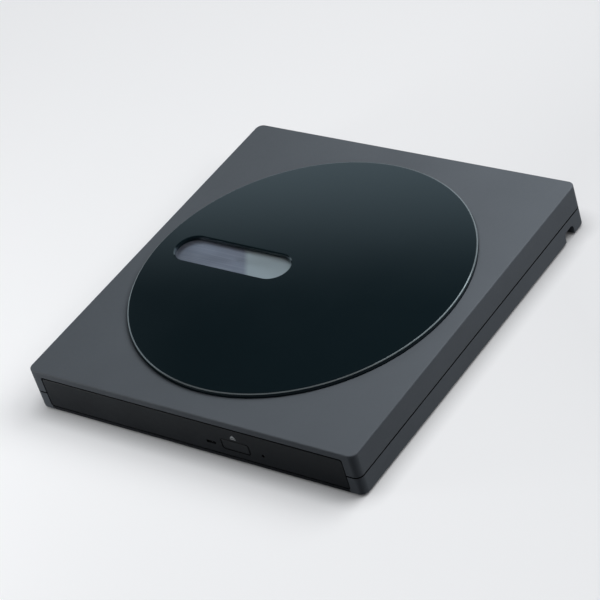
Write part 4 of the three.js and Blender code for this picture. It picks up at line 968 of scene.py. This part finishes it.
def row_tree():
    """Copies of one part along a straight line, all turned alike."""
    tree = new_group("row_of_parts", {
        "Part": "Object", "Count": "Int", "Start": "Vector", "End": "Vector", "Turn": "Rotation",
        "Material": "Material",
    })
    given = tree.nodes["Group Input"].outputs
    line = add_node(
        tree, "GeometryNodeMeshLine", mode="END_POINTS", Count=given["Count"],
        Start_Location=given["Start"], Offset=given["End"],
    ).outputs[0]
    part = add_node(tree, "GeometryNodeObjectInfo", Object=given["Part"]).outputs["Geometry"]
    copies = add_node(
        tree, "GeometryNodeInstanceOnPoints", Points=line, Instance=part, Rotation=given["Turn"],
    )
    group_output(tree, copies.outputs[0])
    return tree


def grown(tree, **inputs):
    """The mesh that a geometry tree makes from its inputs."""
    host = bpy.data.objects.new("host", bpy.data.meshes.new("host"))
    scene.collection.objects.link(host)
    modifier = host.modifiers.new("grown", "NODES")
    modifier.node_group = tree
    sockets = {item.name: item.identifier for item in tree.interface.items_tree if item.in_out == "INPUT"}
    for name, value in inputs.items():
        modifier[sockets[name]] = value
    graph = bpy.context.evaluated_depsgraph_get()
    mesh = bpy.data.meshes.new_from_object(host.evaluated_get(graph))
    bpy.data.objects.remove(host)
    return mesh


HELIX = helix_tree()
ROW = row_tree()


def wound(turns, radius, height, wire, surface):
    return grown(HELIX, Turns=turns, Radius=radius, Height=height, Wire=wire, Material=surface.material)


def row(part, count, start, end, surface, turn=0.0):
    """A row of equal parts from start to end; the part's mesh is used up."""
    model = bpy.data.objects.new("model", part)
    scene.collection.objects.link(model)
    mesh = grown(
        ROW, Part=model, Count=count, Start=tuple(start), End=tuple(end), Turn=(0.0, 0.0, turn),
        Material=surface.material,
    )
    bpy.data.objects.remove(model)
    return mesh


def screw(node, head_height, shank_share, upward):
    """A screw whose head is at one end of the node's box."""
    low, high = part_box(node)
    radius = (high.x - low.x) / 2
    shank = radius * shank_share
    length = high.z - low.z
    levels = eased_levels((0, head_height), head_height / 3, SHOULDER_EASE)
    profile = [(radius - inset, height) for inset, height in levels]
    profile += [(shank, head_height), (shank, length - shank), (shank / 2, length)]
    body = disc((0, 0), profile, 40)
    blade = radius * RECESS_BLADE_SHARE
    reach = radius * RECESS_SHARE
    cross = [
        block(about(0, half_x), about(0, half_y), (-OVERRUN, head_height * 2 / 3), blade / 4)
        for half_x, half_y in ((blade, reach), (reach, blade))
    ]
    body = shaped(body, cross)
    thread_height = length - head_height - 2 * shank
    thread = wound(thread_height / THREAD_PITCH, shank, thread_height, THREAD_DEPTH, screw_steel)
    thread.transform(Matrix.Translation((0, 0, head_height + THREAD_PITCH / 2)))
    whole = joined(body, thread)
    if upward:
        whole.transform(Matrix.Rotation(math.pi, 4, "X"))
    x, y, _ = middle(low, high)
    whole.transform(Matrix.Translation((x, y, high.z if upward else low.z)))
    return whole


for kind, head_height, shank_share, upward in (
    ("case", CASE_SCREW_HEAD, CASE_SHANK_SHARE, False),
    ("board", BOARD_SCREW_HEAD, BOARD_SHANK_SHARE, True),
):
    for side in ("left", "right"):
        node = f"{kind}_screw_{side}"
        stand_in(f"{node}_steel", node, screw(node, head_height, shank_share, upward), screw_steel)

# Gland: the rubber bush at the inner end of the cable groove. Its neck sits in the end
# wall, its flange stops it outside, and fine ribs grip the bore.
GLAND_NECK = 1.5 * MM
GLAND_FLANGE = 0.8 * MM
GLAND_BORE = 0.9 * MM
GLAND_RIBS = 4
GLAND_RIB = 0.08 * MM


def gland():
    flange_start = gland_high.x - GLAND_FLANGE
    pitch = (flange_start - gland_low.x) / GLAND_RIBS
    profile = []
    for i in range(GLAND_RIBS):
        start = gland_low.x + i * pitch
        profile += [(GLAND_NECK - GLAND_RIB, start), (GLAND_NECK, start + pitch / 3)]
    flange_radius = (gland_high.y - gland_low.y) / 2
    profile += [(GLAND_NECK, flange_start), (flange_radius, flange_start), (flange_radius, gland_high.x)]
    bore = [(GLAND_BORE, gland_low.x - OVERRUN), (GLAND_BORE, gland_high.x + OVERRUN)]
    return shaped(turned_along_x(gland_axis, profile), [turned_along_x(gland_axis, bore)], ease=FINE_EASE)


stand_in("gland_bush", "cable_gland", gland(), rubber)

# Drive box: chassis and lid are pressed from zinc-plated steel sheet, with rounded cut
# edges. Both keep the frame's shapes, and the lid is stiffened by long pressed ribs.
SHEET_EASE = 0.1 * MM
WELD = 0.001 * MM
FLAT_ANGLE = math.radians(0.5)
RIB_COUNT = 4
RIB_WIDTH = 3 * MM
RIB_RISE = 0.25 * MM
RIB_SETBACK = 14 * MM

sheet_steel = Surface("sheet_steel", (0.50, 0.51, 0.52), 0.38, 1.0)
sheet_steel.mottle(60, 0.10)
sheet_steel.paint(sheet_steel.remap(sheet_steel.cells(350), 0.2, 0.9, 0, 0.25), (0.62, 0.63, 0.65))
sheet_steel.polish(sheet_steel.noise(900, (1, 0.05, 1), detail=4.0), 0.3, 0.46)
sheet_steel.relief(sheet_steel.noise(2200, (1, 0.04, 1), detail=3.0), SATIN_GRAIN)


def clean_copy(node):
    """The mesh of a node as whole faces instead of loose triangles."""
    bm = bmesh.new()
    bm.from_mesh(frame["nodes"][node].data)
    bmesh.ops.remove_doubles(bm, verts=bm.verts, dist=WELD)
    bmesh.ops.dissolve_limit(bm, angle_limit=FLAT_ANGLE, verts=bm.verts, edges=bm.edges)
    bmesh.ops.recalc_face_normals(bm, faces=bm.faces)
    mesh = bpy.data.meshes.new(node)
    bm.to_mesh(mesh)
    bm.free()
    return mesh


def dress(node, surface, ease, cuts=(), additions=()):
    """A piece in the place of a node: the node's own shape with eased edges."""
    stand_in(f"{node}_piece", node, shaped(clean_copy(node), cuts, additions, ease), surface)


def lid_ribs():
    pitch = (lid_high.x - lid_low.x) / (RIB_COUNT + 1)
    ribs = []
    for i in range(RIB_COUNT):
        ribs.append(block(
            about(lid_low.x + (i + 1) * pitch, RIB_WIDTH / 2),
            (lid_low.y + RIB_SETBACK, lid_high.y - RIB_SETBACK), about(lid_high.z, RIB_RISE),
            RIB_WIDTH / 2, 0, RIB_RISE / 2,
        ))
    return ribs


dress("drive_chassis", sheet_steel, SHEET_EASE)
dress("drive_lid", sheet_steel, SHEET_EASE, additions=lid_ribs())

# Rails: two folded steel runners in moulded guides. A guide is fixed to the box, the
# runner slides in it, and the tongue of the tray slides in the runner.
RAIL_EASE = 0.12 * MM
RAIL_GRAIN = 0.003 * MM
MOULDED_EASE = 0.2 * MM
ACETAL_GRAIN = 0.006 * MM

rail_steel = Surface("rail_steel", (0.58, 0.58, 0.57), 0.26, 1.0)
rail_steel.mottle(90, 0.08)
rail_steel.polish(rail_steel.noise(1200, (1, 0.03, 1), detail=4.0), 0.18, 0.34)
rail_steel.relief(rail_steel.noise(2600, (1, 0.03, 1), detail=3.0), RAIL_GRAIN)

black_acetal = Surface("black_acetal", (0.020, 0.021, 0.022), 0.42, Specular_IOR_Level=0.45)
black_acetal.mottle(150, 0.15)
black_acetal.polish(black_acetal.noise(800), 0.36, 0.5)
black_acetal.relief(black_acetal.noise(3000, detail=3.0), ACETAL_GRAIN)

for side in ("left", "right"):
    dress(f"rail_{side}", rail_steel, RAIL_EASE)
    dress(f"rail_guide_{side}", black_acetal, MOULDED_EASE)

# Tray: black moulded plastic with the round disc well, a fine step ring for small discs
# and a skirt behind the bezel. A thin steel plate closes its underside.
tray_plastic = Surface("tray_plastic", (0.026, 0.028, 0.030), 0.46, Specular_IOR_Level=0.42)
tray_plastic.mottle(45, 0.10)
tray_plastic.polish(tray_plastic.noise(700), 0.40, 0.54)
tray_plastic.relief(tray_plastic.noise(2800, detail=3.0), MOULD_GRAIN)

tray_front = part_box("tray")[0].y
turntable_low, turntable_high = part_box("turntable")
hub = Vector((*middle(turntable_low, turntable_high)[:2], 0))
WELL_FLOOR = 10.1 * MM
SMALL_DISC_RADIUS = 40 * MM
STEP_WIDTH = 0.9 * MM
STEP_DEPTH = 0.25 * MM
SKIRT_WALL = 1 * MM
DECK_LOW = 9.1 * MM
LINTEL_HALF = 4 * MM
LINTEL_DROP = 0.3 * MM
THIN_PLATE_EASE = 0.04 * MM


def pass_lintel():
    """A thicker top for the opening in the tray's front through which the key's stem goes."""
    return block(
        about(button_x, LINTEL_HALF), (tray_front, tray_front + SKIRT_WALL), about(DECK_LOW, LINTEL_DROP),
    )


step_ring = ring(
    hub, SMALL_DISC_RADIUS, SMALL_DISC_RADIUS + STEP_WIDTH,
    (WELL_FLOOR - STEP_DEPTH, WELL_FLOOR + OVERRUN), PANEL_SIDES,
)
dress("tray", tray_plastic, MOULDED_EASE, [step_ring], [pass_lintel()])
dress("tray_bottom_plate", sheet_steel, THIN_PLATE_EASE)

# Traverse: a die-cast frame on three rubber dampers, under a thin satin cover plate. It
# carries both motors, the two guide rods, the lead screw and the pickup.
CAST_EASE = 0.25 * MM
CAST_GRAIN = 0.02 * MM
PAINT_GRAIN = 0.006 * MM

cast_metal = Surface("cast_metal", (0.40, 0.405, 0.41), 0.5, 0.9)
cast_metal.mottle(120, 0.12)
cast_metal.polish(cast_metal.noise(600), 0.42, 0.6)
cast_metal.relief(cast_metal.noise(2400, detail=4.0), CAST_GRAIN)

cover_paint = Surface("cover_paint", (0.034, 0.036, 0.038), 0.4, 0.2)
cover_paint.mottle(90, 0.12)
cover_paint.polish(cover_paint.noise(900), 0.34, 0.46)
cover_paint.relief(cover_paint.noise(3000, detail=3.0), PAINT_GRAIN)

dress("traverse_frame", cast_metal, CAST_EASE)
dress("traverse_cover", cover_paint, FINE_EASE)
for node in ("damper_inner", "damper_outer_left", "damper_outer_right"):
    dress(node, rubber, MOULDED_EASE)

lens_low, lens_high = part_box("lens")
lens_middle = Vector((*middle(lens_low, lens_high)[:2], 0))
run_direction = (lens_middle - hub).normalized()
cross_direction = Vector((-run_direction.y, run_direction.x, 0))
traverse_turn = math.atan2(run_direction.y, run_direction.x)


def reach_along(node, direction):
    """How far a node's mesh reaches from the hub in a level direction."""
    places = [(vertex.co - hub).dot(direction) for vertex in frame["nodes"][node].data.vertices]
    return min(places), max(places)


def laid_down(mesh, node):
    """Turns an upright mesh to where a node lies along the traverse."""
    first, last = reach_along(node, cross_direction)
    mesh.transform(Matrix.Rotation(math.pi / 2, 4, "Y"))
    mesh.transform(Matrix.Translation((0, (first + last) / 2, middle(*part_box(node))[2])))
    mesh.transform(Matrix.Translation(hub) @ Matrix.Rotation(traverse_turn, 4, "Z"))
    return mesh


def shaft(node, sides=32):
    """A round bar in the place of a node that lies along the traverse, with eased ends."""
    low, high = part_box(node)
    radius = (high.z - low.z) / 2
    levels = eased_levels(reach_along(node, run_direction), radius / 5, radius / 5)
    return laid_down(disc((0, 0), [(radius - inset, height) for inset, height in levels], sides), node)


for kind in ("main", "sub"):
    node = f"{kind}_guide_rod"
    add_piece(f"{kind}_rod", shaft(node), rail_steel, "tray", [node])

# Lead screw: a slim steel shaft with a coarse rolled thread, turned by the sled motor.
LEAD_PITCH = 3 * MM
LEAD_WIRE = 0.22 * MM


def lead_screw():
    start, end = reach_along("lead_screw", run_direction)
    low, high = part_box("lead_screw")
    length = end - start - 4 * LEAD_WIRE
    radius = (high.z - low.z) / 2 - LEAD_WIRE / 2
    thread = wound(length / LEAD_PITCH, radius, length, LEAD_WIRE, rail_steel)
    thread.transform(Matrix.Translation((0, 0, start + 2 * LEAD_WIRE)))
    return joined(shaft("lead_screw"), laid_down(thread, "lead_screw"))


stand_in("lead_screw_thread", "lead_screw", lead_screw(), rail_steel)
stand_in("sled_motor_can", "sled_motor", shaft("sled_motor", 64), sheet_steel)

# Spindle: a flat motor can with the turntable on its shaft. A rubber ring grips the disc
# and three sprung claws hold it on the hub.
SMALL_EASE = 0.15 * MM
HUB_EASE = 0.12 * MM
PAD_INNER = 8.4 * MM
PAD_GROOVES = 5
GROOVE_SHARE = 0.2
LAND_SHARES = (0.3, 0.9)

pad_low, pad_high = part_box("turntable_pad")


def grip_ring():
    """The rubber ring on the turntable, with fine grooves in its top."""
    outer = (pad_high.x - pad_low.x) / 2
    pitch = (outer - PAD_INNER) / PAD_GROOVES
    groove_floor = pad_high.z - (pad_high.z - pad_low.z) / 3
    profile = [(PAD_INNER, pad_low.z), (outer, pad_low.z)]
    for i in reversed(range(PAD_GROOVES)):
        inner = PAD_INNER + i * pitch
        profile += [
            (inner + pitch * LAND_SHARES[1], pad_high.z), (inner + pitch * LAND_SHARES[0], pad_high.z),
            (inner + pitch * GROOVE_SHARE, groove_floor), (inner, groove_floor),
        ]
    return disc(hub, profile, 96, looped=True)


dress("spindle_motor", sheet_steel, SMALL_EASE)
stand_in(
    "turntable_hub", "turntable", shaped(clean_copy("turntable"), ease=HUB_EASE), black_acetal,
)
stand_in("grip_ring", "turntable_pad", grip_ring(), rubber)
for node in ("claw_1", "claw_2", "claw_3"):
    dress(node, black_acetal, SMALL_EASE)

# Pickup: a die-cast sled on the rods, with its nut on the lead screw. The lens floats in
# a round holder and has a blue anti-reflection coat.
HOLDER_EASE = 0.1 * MM
DOME_STEPS = 10
DOME_TIP_SHARE = 0.01

lens_glass = Surface(
    "lens_glass", (0.16, 0.22, 0.42), 0.04, IOR=1.6, Coat_Weight=1.0, Coat_Tint=(0.6, 0.7, 1.0, 1),
)
lens_glass.paint(lens_glass.remap(lens_glass.noise(500), 0.4, 0.6), (0.22, 0.16, 0.40))
lens_glass.polish(lens_glass.noise(2000), 0.03, 0.07)


def lens_shape():
    low, high = lens_low, lens_high
    radius = (high.x - low.x) / 2
    crown = (high.z - low.z) / 2
    angles = [i / DOME_STEPS * math.pi / 2 for i in range(DOME_STEPS)]
    dome = [(radius * math.cos(a), high.z - crown + crown * math.sin(a)) for a in angles]
    return disc(lens_middle, [(radius, low.z), *dome, (radius * DOME_TIP_SHARE, high.z)], 48)


dress("pickup_body", cast_metal, MOULDED_EASE)
dress("rack_nut", black_acetal, SMALL_EASE)
dress("lens_holder", black_acetal, HOLDER_EASE)
stand_in("lens_glass", "lens", lens_shape(), lens_glass)

# Boards: green solder mask with fine tracks. Chips stand on rows of bent legs, and small
# ceramic parts with tinned ends sit beside them.
TRACK_WIDTH = 0.35 * MM
TRACK_PITCH_X = 1.3 * MM
TRACK_PITCH_Y = 1.7 * MM
TRACK_RELIEF = 0.02 * MM

board_mask = Surface("board_mask", (0.010, 0.075, 0.032), 0.32, Specular_IOR_Level=0.5)
tracks_along = board_mask.bands(TRACK_PITCH_X, TRACK_WIDTH, "X")
tracks_across = board_mask.bands(TRACK_PITCH_Y, TRACK_WIDTH, "Y")
patch = board_mask.remap(board_mask.noise(130, detail=0.0), 0.48, 0.5)
either_way = add_node(board_mask.tree, "ShaderNodeMix", Factor=patch, A=tracks_along, B=tracks_across)
tracks = either_way.outputs["Result"]
board_mask.paint(tracks, (0.020, 0.13, 0.055))
board_mask.relief(tracks, TRACK_RELIEF)
board_mask.polish(board_mask.noise(300), 0.26, 0.4)

chip_plastic = Surface("chip_plastic", (0.017, 0.017, 0.018), 0.6, Specular_IOR_Level=0.3)
chip_plastic.mottle(400, 0.2)
chip_plastic.polish(chip_plastic.noise(1200), 0.52, 0.7)
chip_plastic.relief(chip_plastic.noise(4500), SOFT_GRAIN)

tinned = Surface("tinned", (0.60, 0.60, 0.58), 0.35, 1.0)
tinned.mottle(900, 0.15)
tinned.polish(tinned.noise(2500), 0.25, 0.5)

ceramic = Surface("ceramic", (0.30, 0.22, 0.13), 0.5)
ceramic.mottle(1200, 0.2)
ceramic.polish(ceramic.noise(2500), 0.4, 0.6)

LEG_WIDTH = 0.25 * MM
LEG_PITCH = 0.65 * MM
LEG_THICKNESS = 0.12 * MM
LEG_REACH = 1.1 * MM
LEG_BEND_SHARE = 0.35
LEG_FOOT_SHARE = 0.55
PART_HALF = Vector((0.8, 0.4, 0.3)) * MM
PART_WAIST = 0.96
PART_SINK = 0.94
SOCKET_PARTS = 8
SOCKET_PARTS_INSET = 2 * MM
CHIP_PARTS = 5
CHIP_PARTS_GAP = 5 * MM
CHIP_PARTS_INSET = 4 * MM
BOARD_EASE = 0.05 * MM
CHIP_EASE = 0.1 * MM
SOCKET_EASE = 0.12 * MM


def bent_leg(drop):
    """A gull-wing leg that leaves a chip along X and ends at the board, below or above."""
    way = 1 if drop > 0 else -1
    line = [
        (0, 0), (LEG_REACH * LEG_BEND_SHARE, 0), (LEG_REACH * LEG_FOOT_SHARE, -drop), (LEG_REACH, -drop),
    ]
    upper = [(x, z + way * LEG_THICKNESS / 2) for x, z in line]
    lower = [(x, z - way * LEG_THICKNESS / 2) for x, z in reversed(line)]
    return prism(upper + lower, about(0, LEG_WIDTH / 2))


def chip_legs(node, board_level):
    """Rows of legs on the four sides of a chip that lies flat on a board."""
    low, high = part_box(node)
    centre = (low + high) / 2
    drop = centre.z - board_level
    drop -= math.copysign(LEG_THICKNESS, drop)
    half = Vector((high.x - low.x, high.y - low.y, 0)) / 2
    rows = []
    for quarter in range(4):
        turn = quarter * math.pi / 2
        outward = Vector((math.cos(turn), math.sin(turn), 0))
        sideways = Vector((-math.sin(turn), math.cos(turn), 0))
        reach = half.x if quarter % 2 == 0 else half.y
        width = half.y if quarter % 2 == 0 else half.x
        count = int((2 * width - 2 * LEG_PITCH) / LEG_PITCH) + 1
        start = centre + outward * reach - sideways * (count - 1) * LEG_PITCH / 2
        end = start + sideways * (count - 1) * LEG_PITCH
        rows.append(row(bent_leg(drop), count, start, end, tinned, turn))
    return joined(*rows)


def small_parts(name, start, end, count, board, hangs):
    """A row of ceramic parts above or below a board, each with two tinned ends."""
    low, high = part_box(board)
    half = PART_HALF
    level = low.z - half.z if hangs else high.z + half.z
    cap = half.x / 3
    core = block(about(0, half.x - cap), about(0, half.y * PART_WAIST), about(0, half.z * PART_SINK))
    ends = joined(*[
        block(x, about(0, half.y), about(0, half.z))
        for x in ((-half.x, cap - half.x), (half.x - cap, half.x))
    ])
    for kind, model, surface in (("bodies", core, ceramic), ("ends", ends, tinned)):
        parts = row(model, count, (*start, level), (*end, level), surface)
        add_piece(f"{name}_{kind}", parts, surface, body_of[board])


board_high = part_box("adapter_board")[1]
tray_board_low, tray_board_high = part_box("tray_board")
socket_low, socket_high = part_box("adapter_socket")
chip_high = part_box("tray_chip")[1]

for node in ("adapter_board", "drive_board", "tray_board", "button_board"):
    dress(node, board_mask, BOARD_EASE)
for node in ("adapter_chip", "tray_chip"):
    dress(node, chip_plastic, CHIP_EASE)
for node in ("adapter_socket", "drive_connector", "button_switch"):
    dress(node, black_acetal, SOCKET_EASE)
dress("lamp", light_guide, LAMP_EASE)
add_piece("adapter_chip_legs", chip_legs("adapter_chip", board_high.z), tinned, "case")
add_piece("tray_chip_legs", chip_legs("tray_chip", tray_board_low.z), tinned, "tray")

parts_y = (socket_high.y + board_high.y) / 2
small_parts(
    "adapter_parts",
    (socket_low.x + SOCKET_PARTS_INSET, parts_y), (socket_high.x - SOCKET_PARTS_INSET, parts_y),
    SOCKET_PARTS, "adapter_board", False,
)
small_parts(
    "tray_parts",
    (chip_high.x + CHIP_PARTS_GAP, chip_high.y), (tray_board_high.x - CHIP_PARTS_INSET, chip_high.y),
    CHIP_PARTS, "tray_board", True,
)

# Ribbon: a flat film cable, in the frame's own shape. Its conductors show as
# darker stripes through the pale film.
CONDUCTOR_PITCH = 1 * MM
CONDUCTOR_WIDTH = 0.7 * MM
FILM_EASE = 0.03 * MM

ribbon_film = Surface("ribbon_film", (0.55, 0.54, 0.50), 0.35, Specular_IOR_Level=0.5)
conductors = ribbon_film.bands(CONDUCTOR_PITCH, CONDUCTOR_WIDTH, "X")
ribbon_film.paint(conductors, (0.40, 0.39, 0.37))
ribbon_film.relief(conductors, TRACK_RELIEF)
ribbon_film.polish(ribbon_film.noise(300), 0.28, 0.42)

dress("flex_ribbon", ribbon_film, FILM_EASE)

# Latch: a steel post on the chassis, the hooked lever on the tray, and the solenoid whose
# plunger swings it free.
COIL_PITCH = 0.24 * MM
COIL_WIDTH = 0.12 * MM
COIL_RELIEF = 0.05 * MM
COIL_EASE = 0.25 * MM

coil_wire = Surface("coil_wire", (0.42, 0.15, 0.055), 0.35, 0.9)
coil_wire.mottle(600, 0.2)
coil_wire.relief(coil_wire.bands(COIL_PITCH, COIL_WIDTH, "X"), COIL_RELIEF)
coil_wire.polish(coil_wire.noise(1500), 0.28, 0.45)

dress("latch_post", rail_steel, SMALL_EASE)
dress("latch_lever", black_acetal, SMALL_EASE)
dress("solenoid", coil_wire, COIL_EASE)
dress("solenoid_plunger", rail_steel, SMALL_EASE)

# Ejector: a spring on a plastic rod pushes the tray out a little once the latch is free.
SPRING_WIRE = 0.3 * MM
SPRING_TURNS = 7


def ejector_spring():
    low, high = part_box("ejector_spring")
    length = high.y - low.y - 2 * SPRING_WIRE
    radius = (high.x - low.x) / 2 - SPRING_WIRE
    spring = wound(SPRING_TURNS, radius, length, SPRING_WIRE, screw_steel)
    spring.transform(Matrix.Rotation(-math.pi / 2, 4, "X"))
    x, _, z = middle(low, high)
    spring.transform(Matrix.Translation((x, low.y + SPRING_WIRE, z)))
    return spring


dress("ejector_rod", black_acetal, MOULDED_EASE)
stand_in("ejector_coil", "ejector_spring", ejector_spring(), screw_steel)
